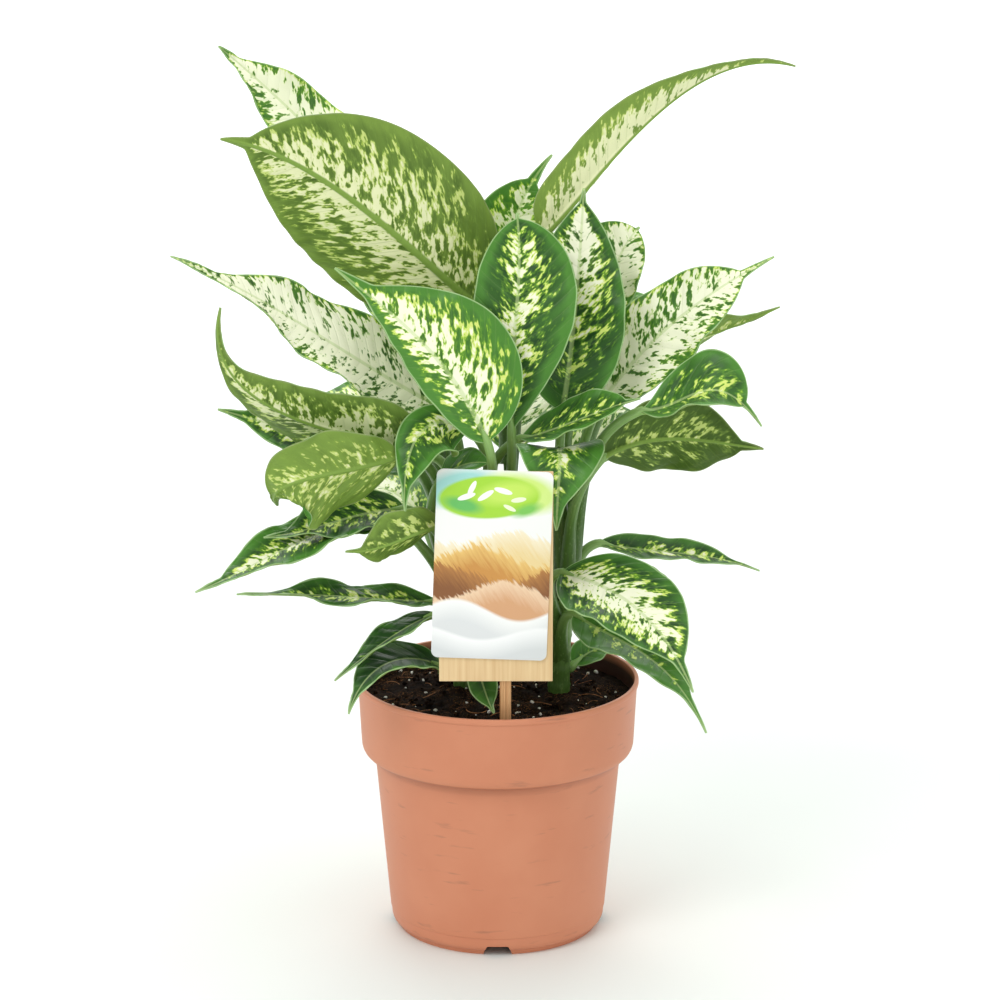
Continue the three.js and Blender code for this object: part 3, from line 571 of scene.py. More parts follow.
@dataclass(frozen=True)
class LeafTissue(Finish):
    """Living leaf: green tissue that cream splashes without leaf green break through along the side
    veins, yellow-green where a splash thins out and with lime crumbs round it. The skin is satin."""

    name: str = "leaf_upper_skin"
    roughness: float = 0.38
    specular: float = 0.25
    side: LeafSide = LeafSide.UPPER
    deep: str = "#25481f"
    light: str = "#4f8632"
    glow: str = "#78ac34"
    lime: str = "#9cc83c"
    yellow: str = "#d6e578"
    cream: str = "#f8fadd"
    midrib: str = "#bdd48e"
    midrib_share: float = 0.5
    margin: str = "#b7d59a"
    vein_spacing: float = 8.5  # from one side vein to the next, in millimetres
    vein_tint: float = 0.04
    # Cream gathers in drifts along the side veins, broken into ragged blotches with crumbs at their
    # edges. Each has its size across and along a vein in millimetres, its detail and its weight.
    drift: tuple[float, float, float, float] = (10.0, 20.0, 1.0, 3.0)
    blotch: tuple[float, float, float, float] = (3.8, 5.2, 1.0, 5.0)
    crumb: tuple[float, float, float, float] = (1.4, 1.9, 1.0, 2.0)

    def looks(self, tree: Tree) -> dict[str, Socket | str]:
        """Lays out its colour and relief.

        The blade stores, for each vertex, vein_place (where its side vein leaves the midrib, its
        distance from the midrib, and a number of the leaf's own) in millimetres, leaf_mix (how
        much cream there is, how dark the green is, with painted shade past 1, and the distance from
        the midrib in midrib widths) and leaf_rim (the distance from the margin in millimetres).

        Args:
            tree: The material's node tree.

        Returns:
            What feeds the shader, by the names of its inputs.
        """
        veins = add_node(tree, "Attribute", output="Vector", attribute_name="vein_place")
        mix = add_node(tree, "Attribute", output="Vector", attribute_name="leaf_mix")
        rim = add_node(tree, "Attribute", output="Fac", attribute_name="leaf_rim")
        density, tone_and_shade, rib = add_node(tree, "SeparateXYZ", {0: mix}).node.outputs
        origin = add_node(tree, "SeparateXYZ", {0: veins}, "X")
        splash = density
        patterns = []
        for across, along, detail, weight in (self.drift, self.blotch, self.crumb):
            patterns.append(stretched(tree, veins, (across, along, 1.0), detail, 0.55, 0.25))
            splash = add_node(tree, "Math", {0: patterns[-1], 1: weight, 2: splash}, operation="MULTIPLY_ADD")
        drifts, blotches, _ = patterns
        heart = add_node(tree, "Math", {0: density, 1: 1.1, 2: splash}, operation="MULTIPLY_ADD")
        # A tone past 1 is painted shade: it darkens the leaf towards the deep green.
        clouds = add_node(tree, "Math", {0: drifts, 1: 1.4, 2: tone_and_shade}, operation="MULTIPLY_ADD")
        clouds = add_node(tree, "Math", {0: density, 1: 0.35, 2: clouds}, operation="MULTIPLY_ADD")
        # A side vein's line, 1 mm wide, and the pillow of tissue between two of them.
        phase = add_node(tree, "Math", {0: origin, 1: self.vein_spacing / 2}, operation="PINGPONG")
        line = add_node(tree, "MapRange", {0: phase, 1: 0.9, 2: 0.1}, interpolation_type="SMOOTHSTEP")
        pillow = add_node(
            tree, "MapRange", {0: phase, 2: self.vein_spacing / 2}, interpolation_type="SMOOTHSTEP"
        )
        colour = coated(
            tree,
            self.light,
            (clouds, 0.7, 1.7, 1.0, self.deep),
            (splash, 4.2, 5.0, 0.55, self.glow),
            (splash, 5.0, 5.05, 1.0, self.lime),
            (splash, 5.1, 5.3, 1.0, self.yellow),
            (heart, 5.35, 5.85, 1.0, self.cream),
            (line, 0.0, 1.0, self.vein_tint, self.midrib),
            (rib, 1.2, 0.7, self.midrib_share, self.midrib),
            (rim, 0.9, 0.3, 0.75, self.margin),
        )
        ridges = add_node(tree, "Math", {0: line, 1: self.side.value, 2: pillow}, operation="MULTIPLY_ADD")
        relief = add_node(tree, "Math", {0: blotches, 1: 0.5, 2: ridges}, operation="MULTIPLY_ADD")
        bump = add_node(tree, "Bump", {"Height": relief, "Distance": 0.0004, "Strength": 0.4}, "Normal")
        return {"Base Color": colour, "Normal": bump}


@dataclass(frozen=True)
class LeafEdge(Finish):
    """The thin clear margin of a blade, which catches light as a pale green line."""

    name: str = "leaf_clear_margin"
    roughness: float = 0.4
    base: str = "#9fbf7a"
    dull: str = "#7fa45c"

    def looks(self, tree: Tree) -> dict[str, Socket | str]:
        """Lays out its colour, with duller spots of 6 mm.

        Args:
            tree: The material's node tree.

        Returns:
            What feeds the shader, by the names of its inputs.
        """
        veins = add_node(tree, "Attribute", output="Vector", attribute_name="vein_place")
        spots = add_node(tree, "TexNoise", {"Vector": veins, "Scale": 1 / 6, "Detail": 2.0})
        return {"Base Color": coated(tree, self.base, (spots, 0.0, 1.0, 1.0, self.dull))}


@dataclass(frozen=True)
class SplitBirch(Finish):
    """Thin birch: straight grain along its length, warm tan, dull, with slightly raised fibres."""

    name: str = "split_birch"
    roughness: float = 0.7
    pale: str = "#dcae7c"
    dark: str = "#a8713f"

    def looks(self, tree: Tree) -> dict[str, Socket | str]:
        """Lays out its colour and relief, with fibres 0.7 mm apart and 50 mm long.

        Args:
            tree: The material's node tree.

        Returns:
            What feeds the shader, by the names of its inputs.
        """
        place = add_node(tree, "TexCoord", output="Object")
        fibres = stretched(tree, place, (0.0007, 0.0007, 0.05), 3.0)
        bump = add_node(tree, "Bump", {"Height": fibres, "Distance": 0.0002, "Strength": 0.5}, "Normal")
        return {"Base Color": coated(tree, self.pale, (fibres, 0.35, 0.7, 1.0, self.dark)), "Normal": bump}


@dataclass(frozen=True)
class PrintedCard(Finish):
    """Coated white card with a printed landscape: ripe grass on rolling hills in gold, tan and brown
    above white dunes, under overlapping ovals in lime and teal that carry a few white leaf shapes.
    The coating is smooth, with a soft even sheen."""

    name: str = "coated_printed_card"
    roughness: float = 0.35
    paper: str = "#f9f9f6"
    # Height of the crest, its swing, where its wave starts, how far the grass stands out of it, and
    # the shades at the crest and below it.
    hills: tuple[tuple[float, float, float, float, str, str], ...] = (
        (72, 4, 0.6, 0.8, "#f8edcf", "#f0d79c"),
        (62, 6, 2.3, 1.0, "#ecc473", "#cf9348"),
        (51, 5, 4.2, 1.0, "#b67c40", "#8a562c"),
        (41, 6, 0.9, 0.6, "#f3d3b0", "#dba67a"),
        (29, 6, 3.3, 0.0, "#fdfdfb", "#e3e5e6"),
        (15, 4, 5.2, 0.0, "#ffffff", "#dde0e1"),
    )
    # Middle, turn in degrees, half length and half width, shade and softness of the outline.
    ovals: tuple[tuple[float, float, float, float, float, str, float], ...] = (
        (-20, 102, 14, 24, 12, "#a5dcd6", 0.35),
        (14, 100, -8, 26, 13, "#d6f08a", 0.3),
        (-3, 97, 4, 30, 13, "#a8dc3c", 0.08),
        (8, 100, 10, 20, 8, "#c9ec62", 0.5),
        (-18, 92, -12, 13, 5, "#69bf62", 0.5),
        (19, 90, 20, 10, 4, "#7fca5a", 0.6),
        (-16, 97, 20, 5.5, 1.7, "#fdfff6", 0.05),
        (-13, 102, 65, 5.0, 1.6, "#fdfff6", 0.05),
        (-5, 98, 35, 5.5, 1.7, "#fdfff6", 0.05),
        (5, 101, -15, 5.5, 1.7, "#fdfff6", 0.05),
        (14, 96, 10, 4.5, 1.5, "#f4fbd9", 0.05),
        (9, 91, -25, 4.0, 1.3, "#f4fbd9", 0.05),
    )
    fade: float = 12.0  # how far below its crest a hill has its lower shade, in millimetres

    def looks(self, tree: Tree) -> dict[str, Socket | str]:
        """Lays out its colour, printed by card_place: millimetres across, up and into the card.

        Args:
            tree: The material's node tree.

        Returns:
            What feeds the shader, by the names of its inputs.
        """
        place = add_node(tree, "Attribute", output="Vector", attribute_name="card_place")
        across, height, _ = add_node(tree, "SeparateXYZ", {0: place}).node.outputs
        # Blades of ripe grass, 1.5 mm across and 14 mm long, all leaning one way.
        lean = {"Rotation": (0, 0, math.radians(35)), "Scale": (1.5, 14.0, 1.0)}
        leaning = add_node(tree, "Mapping", {"Vector": place} | lean, vector_type="TEXTURE")
        grass = add_node(
            tree, "TexNoise", {"Vector": leaning, "Scale": 1.0, "Detail": 3.0, "Distortion": 0.6}
        )
        blades = add_node(tree, "MapRange", {0: grass, 1: 0.4, 2: 0.62, 3: -2.2, 4: 2.2})
        colour = self.paper
        for crest, swing, start, grown, upper, lower in self.hills:
            turn = add_node(tree, "Math", {0: across, 1: 0.085, 2: start}, operation="MULTIPLY_ADD")
            wave = add_node(tree, "Math", {0: turn}, operation="SINE")
            line = add_node(tree, "Math", {0: wave, 1: swing, 2: crest}, operation="MULTIPLY_ADD")
            below = add_node(tree, "Math", {0: line, 1: height}, operation="SUBTRACT")
            ragged = add_node(tree, "Math", {0: blades, 1: grown, 2: below}, operation="MULTIPLY_ADD")
            shade = coated(tree, upper, (ragged, 0.0, self.fade, 1.0, lower))
            colour = coated(tree, colour, (ragged, -1.5, 0.5, 1.0, shade))
        for middle, level, turn, length, width, shade, soft in self.ovals:
            turned = {"Rotation": (0, 0, math.radians(turn)), "Scale": (length, width, 1)}
            about = {"Vector": place, "Location": (middle, level, 0)} | turned
            inside = add_node(tree, "Mapping", about, vector_type="TEXTURE")
            flat = add_node(tree, "VectorMath", {0: inside, 1: (1, 1, 0)}, operation="MULTIPLY")
            reach = add_node(tree, "VectorMath", {0: flat}, "Value", operation="LENGTH")
            colour = coated(tree, colour, (reach, 1.0 + soft / 5, 1.0 - soft, 1.0, shade))
        return {"Base Color": colour}


@dataclass(frozen=True)
class MatteBoard(Finish):
    """Uncoated tan board with a faint printed wood grain up it, dull and slightly fibrous."""

    name: str = "uncoated_tan_board"
    roughness: float = 0.75
    pale: str = "#edcf9f"
    dark: str = "#dfba88"

    def looks(self, tree: Tree) -> dict[str, Socket | str]:
        """Lays out its colour, with grain 2.2 mm apart and 60 mm long, and fibres of 0.4 mm.

        Args:
            tree: The material's node tree.

        Returns:
            What feeds the shader, by the names of its inputs.
        """
        place = add_node(tree, "Attribute", output="Vector", attribute_name="card_place")
        grain = stretched(tree, place, (2.2, 60.0, 1.0), 4.0)
        fibre = add_node(tree, "TexNoise", {"Vector": place, "Scale": 1 / 0.4, "Detail": 2.0})
        bump = add_node(tree, "Bump", {"Height": fibre, "Distance": 0.00008, "Strength": 0.5}, "Normal")
        return {"Base Color": coated(tree, self.pale, (grain, 0.35, 0.72, 1.0, self.dark)), "Normal": bump}


@dataclass(frozen=True)
class StudioPaper(Finish):
    """Seamless white paper under the pot, quite matte."""

    name: str = "seamless_white_paper"
    roughness: float = 0.9
    shade: str = "#e9efeb"

    def looks(self, tree: Tree) -> dict[str, Socket | str]:
        """Lays out its one colour.

        Args:
            tree: The material's node tree.

        Returns:
            What feeds the shader, by the names of its inputs.
        """
        return {"Base Color": self.shade}


# ---------------------------------------------------------------------------------------------
# Pot and soil
# ---------------------------------------------------------------------------------------------


def rounded(start: tuple, corner: tuple, end: tuple, steps: int = 6) -> Profile:
    """Rounds a corner of a profile.

    Args:
        start: The point where the round starts.
        corner: The corner that it bulges towards.
        end: The point where it ends.
        steps: How many straight steps it has.

    Returns:
        The points of the round.
    """
    shares = [k / steps for k in range(steps + 1)]
    return [
        tuple((1 - s) ** 2 * a + 2 * s * (1 - s) * c + s * s * b for a, c, b in zip(start, corner, end))
        for s in shares
    ]


@dataclass
class NurseryPot:
    """A nursery pot with a stepped collar, a rim lip, a foot ring, drain notches and drain holes.

    Sizes are in millimetres.
    """

    rim_radius: float = 85.0
    height: float = 155.0
    wall: float = 1.6
    lip_height: float = 3.0
    collar_top_radius: float = 84.0
    collar_low_radius: float = 82.2
    collar_low: float = 117.0
    collar_foot: float = 110.0
    body_top_radius: float = 73.8
    body_top: float = 104.0
    body_low_radius: float = 64.6
    body_low: float = 8.0
    bead: float = 0.35  # how far the moulded ring above the foot stands out
    floor: float = 3.2
    foot_radius: float = 60.6
    foot_width: float = 4.0
    notch_foot_width: float = 18.0
    notch_top_width: float = 13.0
    notch_height: float = 6.5
    notch_depth: float = 10.0
    notch_corner: float = 1.2
    drain_radius: float = 4.0
    drain_ring_radius: float = 38.0
    segments: int = 160
    notches: int = 4
    drains: int = 6

    def outside(self) -> Profile:
        """Returns the outside profile as (radius, height), from under the floor up to the rim."""
        floor, foot, rim = self.floor, self.foot_radius, self.rim_radius
        inner = foot - self.foot_width
        low, low_height, bead = self.body_low_radius, self.body_low, self.bead
        top, ledge, collar = self.body_top_radius, self.collar_foot, self.collar_low_radius
        lip = self.height - self.lip_height
        return [
            (1.0, floor),
            (inner - 1, floor),
            # The foot ring stands below the floor, with its edges rounded.
            *rounded((inner - 0.6, floor), (inner, floor), (inner, floor - 0.6), 2),
            *rounded((inner, 0.5), (inner, 0.0), (inner + 0.5, 0.0), 2),
            *rounded((foot - 0.5, 0.0), (foot, 0.0), (foot, 0.5), 2),
            (foot + 0.5, floor - 0.4),
            # The body starts with a rounded edge and a low moulded bead.
            *rounded((foot + 1, floor), (low - 0.2, floor), (low, low_height)),
            (low + 0.35, low_height + 3.4),
            (low + 0.38 + bead, low_height + 3.8),
            (low + 0.42 + bead, low_height + 4.4),
            (top - 0.6, self.body_top - 6),
            # It flares into the ledge under the collar.
            *rounded((top, self.body_top), (top + 0.6, ledge - 1.2), (top + 2.2, ledge - 0.4), 4),
            *rounded((collar - 5, ledge), (collar - 0.2, ledge + 0.3), (collar, self.collar_low)),
            # The lip stands out round the rim.
            (self.collar_top_radius, lip - 1.4),
            *rounded((self.collar_top_radius + 0.1, lip - 0.8), (rim, lip - 0.4), (rim, lip + 0.5), 3),
            *rounded((rim, self.height - 1), (rim, self.height), (rim - 1, self.height), 4),
        ]

    def inside(self) -> Profile:
        """Returns the inside profile as (radius, height), from the rim down to the floor."""
        wall, height, low = self.wall, self.height, self.floor + self.wall
        mouth, collar = self.collar_top_radius - wall, self.collar_low_radius
        upper, lower = self.body_top_radius - wall, self.body_low_radius - wall
        return [
            *rounded((mouth + 0.7, height), (mouth, height), (mouth, height - 0.8), 3),
            (collar - wall, self.collar_low + wall),
            (collar - 2 * wall, self.collar_foot + 2 * wall),
            (upper, self.collar_foot + wall),
            (upper, self.body_top),
            *rounded((lower + 0.3, low + 4.5), (lower, low), (lower - 4.5, low), 4),
            (1.0, low),
        ]

    def turn_shell(self) -> Piece:
        """Returns the wall and floor, drawn up ring by ring from a small circle under the floor."""
        profile = self.outside() + self.inside()
        radius, height = profile[0]
        shell = primitive(
            "pot_body",
            "circle",
            vertices=self.segments,
            radius=radius * MM,
            location=(0, 0, height * MM),
            fill_type="NGON",
        )
        with editing(shell):
            bpy.ops.mesh.delete(type="ONLY_FACE")
            bpy.ops.mesh.select_all(action="SELECT")
            draw_rings(profile)
        return shell

    def notch_cutter(self, turn: float) -> Piece:
        """Shapes the block that cuts one drain notch, wide at the foot and narrow above.

        Args:
            turn: Where the notch is, as an angle round the pot from the front.

        Returns:
            The block.
        """
        cutter = primitive("notch_cutter", "cube", size=1)
        points = points_of(cutter)
        upper = points[:, 2] > 0
        points[:, 0] *= np.where(upper, self.notch_top_width, self.notch_foot_width)
        points[:, 1] = (points[:, 1] + 0.5) * self.notch_depth - self.foot_radius - self.foot_width - 1
        points[:, 2] = np.where(upper, self.notch_height, -1.0)
        turned = np.array(Matrix.Rotation(turn, 3, "Z"))
        move_points(cutter, points @ turned.T * MM)
        with editing(cutter, lambda start, end: abs(start.z - end.z) < 0.01 * MM and start.z > 0):
            bpy.ops.mesh.bevel(offset=self.notch_corner * MM, segments=4)
        return cutter

    def drain_cutter(self, turn: float) -> Piece:
        """Makes the rod that cuts one drain hole.

        Args:
            turn: Where the hole is, as an angle round the pot.

        Returns:
            The rod.
        """
        ring = self.drain_ring_radius * MM
        return primitive(
            "drain_cutter",
            "cylinder",
            vertices=32,
            radius=self.drain_radius * MM,
            depth=4 * self.floor * MM,
            location=(ring * math.cos(turn), ring * math.sin(turn), self.floor * MM),
        )

    def build(self, plastic: Material) -> None:
        """Builds the pot and dresses it.

        Args:
            plastic: Its finish.
        """
        pot = self.turn_shell()
        for k in range(self.notches):
            combine(pot, self.notch_cutter(k * math.tau / self.notches), "DIFFERENCE")
        for k in range(self.drains):
            combine(pot, self.drain_cutter((k + 0.5) * math.tau / self.drains), "DIFFERENCE")
        hand_over(pot, [plastic], "terracotta_plastic", "pot", crisp=35)


@dataclass
class PottingMix:
    """The peat mix that fills the pot, with crumbs, perlite and fibres lying on its crown.

    Sizes are in millimetres.
    """

    radius: float = 81.8
    edge: float = 142.0
    crown: float = 145.0
    calm_from: float = 0.86  # past this share of the radius the crown is calmer
    calm_over: float = 0.14  # and it gets there over this share
    crumbs: int = 240
    perlite: int = 75
    fibres: int = 70
    fibre_length: float = 5.0
    fibre_radius: float = 0.11
    margin: float = 6.0  # how far from the wall no loose bit lies
    lump: float = 17.0
    lump_height: float = 2.6
    clod: float = 4.5
    clod_height: float = 1.3
    crumb: float = 1.9
    crumb_height: float = 0.6
    spokes: int = 220
    rings: int = 80
    below: tuple[tuple[float, float], ...] = (
        (80.2, 118.0),
        (71.5, 111.0),
        (71.0, 104.0),
        (62.4, 9.6),
        (58.0, 5.2),
    )
    draw: random.Random = field(default_factory=lambda: random.Random(11))

    def height(self, x: float, y: float) -> float:
        """Works out the height of the mix's surface: lumps, clods and crumbs on a low dome.

        Args:
            x: The place to the right of the pot's axis.
            y: The place behind it.

        Returns:
            The height there.
        """
        reach = math.hypot(x, y) / self.radius
        lumps = noise.fractal(Vector((x / self.lump, y / self.lump, 0.3)), 1.0, 2.0, 3)
        clods = noise.noise(Vector((x / self.clod, y / self.clod, 4.1)))
        crumbs = noise.noise(Vector((x / self.crumb, y / self.crumb, 7.7)))
        calm = 1 - 0.75 * max(0.0, min(1.0, (reach - self.calm_from) / self.calm_over))
        dome = self.edge + (self.crown - self.edge) * (1 - reach * reach)
        rough = self.lump_height * lumps + self.clod_height * clods + self.crumb_height * crumbs
        return dome + calm * rough

    def bed(self) -> Piece:
        """Returns the mix itself: a lumpy crown on a body that fills the pot."""
        bed = primitive("soil_bed", "grid", x_subdivisions=self.spokes, y_subdivisions=self.rings, size=2)
        flat = points_of(bed)
        turn = flat[:, 0] * math.pi
        reach = (flat[:, 1] + 1) / 2 * self.radius
        x, y = reach * np.cos(turn), reach * np.sin(turn)
        z = np.array([self.height(*at) for at in zip(x, y)])
        move_points(bed, np.stack((x, y, z), 1) * MM)
        with editing(bed):
            bpy.ops.mesh.remove_doubles(threshold=0.01 * MM)
            bpy.ops.mesh.select_all(action="DESELECT")
            bpy.ops.mesh.select_non_manifold()
            draw_rings([(self.radius, self.edge), *self.below])
        return bed

    def scatter(
        self, name: str, seeds: list[Piece], count: int, sizes: tuple[float, float], sink: float
    ) -> Piece:
        """Scatters copies of some bits over the crown and joins them.

        Args:
            name: The joined piece's name.
            seeds: The bits to copy, each about 1 mm in size at the origin.
            count: How many copies there are.
            sizes: The smallest and largest copy, as a scale.
            sink: How far a copy is sunk, as a share of its size.

        Returns:
            The joined piece.
        """
        copies = []
        for k in range(count):
            copy = seeds[k % len(seeds)].copy()
            copy.data = copy.data.copy()
            bpy.context.collection.objects.link(copy)
            reach = (self.radius - self.margin) * math.sqrt(self.draw.random())
            turn = self.draw.uniform(0, math.tau)
            x, y = reach * math.cos(turn), reach * math.sin(turn)
            size = self.draw.uniform(*sizes) ** 1.5
            z = self.height(x, y) + (0.5 - sink) * size
            spin = Matrix.Rotation(self.draw.uniform(0, math.tau), 4, "Z")
            tip = Matrix.Rotation(self.draw.uniform(-0.5, 0.5), 4, "X")
            squash = Matrix.Diagonal((size, size * self.draw.uniform(0.6, 1), size * 0.8, 1))
            copy.data.transform(Matrix.Translation(Vector((x, y, z)) * MM) @ spin @ tip @ squash)
            copies.append(copy)
        for seed in seeds:
            bpy.data.objects.remove(seed)
        return join(name, copies)

    def bit(self, kind: str, number: int, roughen: float) -> Piece:
        """Shapes a broken lump 1 mm across, knocked out of round in its own way.

        Args:
            kind: What it is a bit of, for its name.
            number: Its number among its kind.
            roughen: How far it is out of round, as a share of its size.

        Returns:
            The lump.
        """
        lump = primitive(f"{kind}_{number}", "ico_sphere", subdivisions=2, radius=0.5 * MM)
        points = points_of(lump)
        push = [noise.noise(Vector(p / MM * 1.7) + Vector((number * 5.0, 0, 0))) for p in points]
        move_points(lump, points * (1 + roughen * np.array(push))[:, None])
        return lump

    def strand(self, number: int) -> Piece:
        """Shapes a thin fibre.

        Args:
            number: Its number: the higher it is, the more the fibre is bent.

        Returns:
            The fibre.
        """
        bend = 0.8 + 0.5 * number

        def path(share: np.ndarray) -> np.ndarray:
            """Bends the fibre over on the ground, with its middle a little raised."""
            turn = bend * (share - 0.5)
            across = self.fibre_length * np.sin(turn) / bend
            away = self.fibre_length * (1 - np.cos(turn)) / bend
            return np.stack((across, away, 0.5 * np.sin(math.pi * share)), 1) * MM

        def radius(share: np.ndarray, _: np.ndarray) -> np.ndarray:
            """Keeps the fibre equally thick all along."""
            return np.full(len(share), self.fibre_radius * MM)

        return tube(f"fibre_{number}", path, radius, steps=10, sides=5)

    def build(self, peat: Material, perlite: Material, bark: Material) -> None:
        """Builds the mix and what lies on it, and dresses them.

        Args:
            peat: The finish of the mix and its crumbs.
            perlite: The finish of the perlite grains.
            bark: The finish of the fibres.
        """
        hand_over(self.bed(), [peat], "potting_soil", "soil", crisp=60)
        crumbs = [self.bit("crumb", k, 0.8) for k in range(5)]
        crumbs = self.scatter("soil_crumbs", crumbs, self.crumbs, sizes=(1.1, 2.6), sink=0.3)
        hand_over(crumbs, [peat], "potting_soil", crisp=60)
        grains = [self.bit("grain", k, 0.7) for k in range(4)]
        grains = self.scatter("soil_perlite", grains, self.perlite, sizes=(0.7, 2.0), sink=0.3)
        hand_over(grains, [perlite], "potting_soil", crisp=60)
        strands = [self.strand(k) for k in range(4)]
        strands = self.scatter("soil_fibres", strands, self.fibres, sizes=(1.0, 2.2), sink=0.45)
        hand_over(strands, [bark], "potting_soil", crisp=60)


# ---------------------------------------------------------------------------------------------
# Leaves
# ---------------------------------------------------------------------------------------------

AHEAD = unit(np.array([0.1, -0.95, 0.2]))  # a direction that no stalk runs along
SEAT_GAP = 0.3 * MM


def tube(
    name: str,
    path: Callable[[np.ndarray], np.ndarray],
    radius: Callable[[np.ndarray, np.ndarray], np.ndarray],
    steps: int,
    sides: int,
    seed: float = 0.0,
) -> Piece:
    """Bends a cylinder along a path.

    Args:
        name: The new object's name.
        path: Gives points in metres for shares of the length.
        radius: Gives the radius in metres for shares of the length and turns round it.
        steps: How many rings the cylinder has.
        sides: How many sides it has.
        seed: A number of its own, for its streaks.

    Returns:
        The tube, with stalk_place and stalk_share stored for its material.
    """
    made = primitive(name, "cylinder", vertices=sides, radius=1, depth=2)
    with editing(made, lambda start, end: abs(start.z - end.z) > 1):
        bpy.ops.mesh.subdivide(number_cuts=steps - 1)
    straight = points_of(made)
    share = (straight[:, 2] + 1) / 2
    turn = np.arctan2(straight[:, 1], straight[:, 0])
    step = 0.002
    along = unit(path(np.minimum(1, share + step)) - path(np.maximum(0, share - step)))
    first = unit(AHEAD - (along @ AHEAD)[:, None] * along)
    second = np.cross(along, first)
    wide = radius(share, turn)
    offset = first * np.cos(turn)[:, None] + second * np.sin(turn)[:, None]
    move_points(made, path(share) + offset * wide[:, None])
    store(made, "stalk_place", turn * wide / MM, run_along(path, share, 60) / MM, share * 0 + 9.1 * seed)
    store(made, "stalk_share", share)
    return made


class LeafKind(Enum):
    """How a leaf is variegated: the cream at its midrib, how much of that is lost towards its edge,
    and the breadth of its green margin in millimetres."""

    SPLASHED = (0.3, 1.4, 4.0)
    FEATHERED = (0.95, 3.0, 5.0)
    WHITISH = (0.55, 0.35, 1.0)
    PLAIN = (-0.9, 0.5, 6.0)


@dataclass
class Leaf:
    """One leaf, in millimetres and degrees.

    Its stalk leaves its cane at the height stalk_from. Its midrib passes through four points, from
    the base of the blade to the tip. Each half rises from the midrib by fold and bends on by curl up
    to its edge, which swings up and down by wave. Lean makes the right half wider than the left.
    """

    name: str
    cane: str
    stalk_from: float
    rib: tuple[Point, Point, Point, Point]
    width: float
    faces: tuple[Point, Point]  # where its upper side looks, at its base and at its tip
    wave: float
    waves: float
    widest: float = 0.4  # where it is widest, as a share of its length
    point: float = 0.88  # past this share of the length the tip is a drawn-out point
    fold: float = 9.0
    curl: float = 10.0
    lean: float = 0.0
    phase: float = 0.0  # where along the blade the swings of its edge start, in radians
    kind: LeafKind = LeafKind.SPLASHED
    cream: float = 0.0  # more or less cream than its kind
    tipward: float = 0.0  # how much more cream there is towards the tip than towards the base
    tone_and_shade: float = 0.5  # 0 for light green, 1 for dark green; more is painted shade for a leaf that lies in shade
    pucker: float = 0.35  # how far the tissue bulges between side veins

    ROWS = 92
    COLUMNS = 30
    MIDRIB_CROWDING = 1.35  # above 1, columns lie closer at the midrib
    END_CROWDING = 0.35  # above 0, rows lie closer at both ends
    SKINS = 3  # upper side, underside and margin
    THICKNESS = 0.55
    OUTLINE_POWER = 1.5
    POINT_TAPER = 0.8
    BASE_WIDTH = 4.5
    TIP_WIDTH = 1.2
    SHOULDER = 6  # how crisply the blade's outline passes into its ends
    VEIN_SLANT = 0.62  # how far a side vein runs tipwards for each millimetre away from the midrib
    VEIN_BEND = 0.007  # and how much more of that for each further millimetre
    PUCKER_SPACING = 13.0  # from one bulge to the next
    RIPPLE = 0.7  # how far the edge is crimped
    RIPPLE_SPACING = 19.0  # from one crimp to the next
    CHANNEL_DEPTH = 0.7  # of the channel above the midrib
    CHANNEL_WIDTH = 1.5
    KEEL_DEPTH = 2.0  # of the midrib's ridge on the underside, at the base
    KEEL_TIP_DEPTH = 0.3
    MIDRIB = 0.4  # how far the midrib's stripe reaches on each side at the base,
    MIDRIB_GROWTH = 0.022  # how much more for each millimetre of the blade's width,
    MIDRIB_TAPER = 0.65  # and how much of it is lost towards the tip
    EDGE_POWER = 2.2  # how late towards the edge the cream is lost
    MARGIN_GREEN = 0.9  # how much cream the green margin takes away
    END_GREEN = 0.35  # and how much both ends do
    EDGE_TONE = 0.15  # how much lighter the green is at the edge
    SPREAD = 0.22  # how far out a stalk's first bend lies, as a share of its way out,
    RISE = 0.4  # and how far up, as a share of its whole way
    APPROACH = 0.3  # how far before its end its second bend lies,
    SAG = 0.12  # and how far below it
    STALK_END = 0.93  # past this share of its length a stalk runs on under the midrib
    STALK_REACH = 9.0  # and how far it does so
    STALK_RADIUS = 4.1
    STALK_TAPER = 1.5  # how much thinner it is at its end
    SHEATH = 1.6  # how far its sheath stands out on both sides

    def rib_at(self, t: np.ndarray) -> np.ndarray:
        """Draws the midrib, which reaches its four points at even steps.

        Args:
            t: How far along the midrib each point is.

        Returns:
            The points, in millimetres.
        """
        p0, p1, p2, p3 = np.array(self.rib, dtype=float)
        first = -5 / 6 * p0 + 3 * p1 - 3 / 2 * p2 + 1 / 3 * p3
        second = 1 / 3 * p0 - 3 / 2 * p1 + 3 * p2 - 5 / 6 * p3
        return bow(np.asarray(t, dtype=float), p0, first, second, p3)

    def rib_along(self, t: np.ndarray) -> np.ndarray:
        """Returns the midrib's direction."""
        step = 1e-4
        return unit(self.rib_at(np.asarray(t) + step) - self.rib_at(np.asarray(t) - step))

    def half_width(self, t: np.ndarray, v: np.ndarray) -> np.ndarray:
        """Works out how far the blade reaches from its midrib.

        Args:
            t: Along the blade, from 0 at its base to 1 at its tip.
            v: Negative for its left half and positive for its right half.

        Returns:
            The distances from the midrib to the edge, in millimetres.
        """
        share = np.minimum(1, t / self.point)
        rise = (share / self.widest) ** (self.OUTLINE_POWER * self.widest)
        fall = ((1 - share) / (1 - self.widest)) ** (self.OUTLINE_POWER * (1 - self.widest))
        point = self.TIP_WIDTH + self.POINT_TAPER * self.width * (1 - t)
        ends = np.where(t < self.widest, self.BASE_WIDTH, point)
        both = ((self.width * rise * fall) ** self.SHOULDER + ends**self.SHOULDER) ** (1 / self.SHOULDER)
        return both / 2 * (1 + self.lean * np.sign(v))

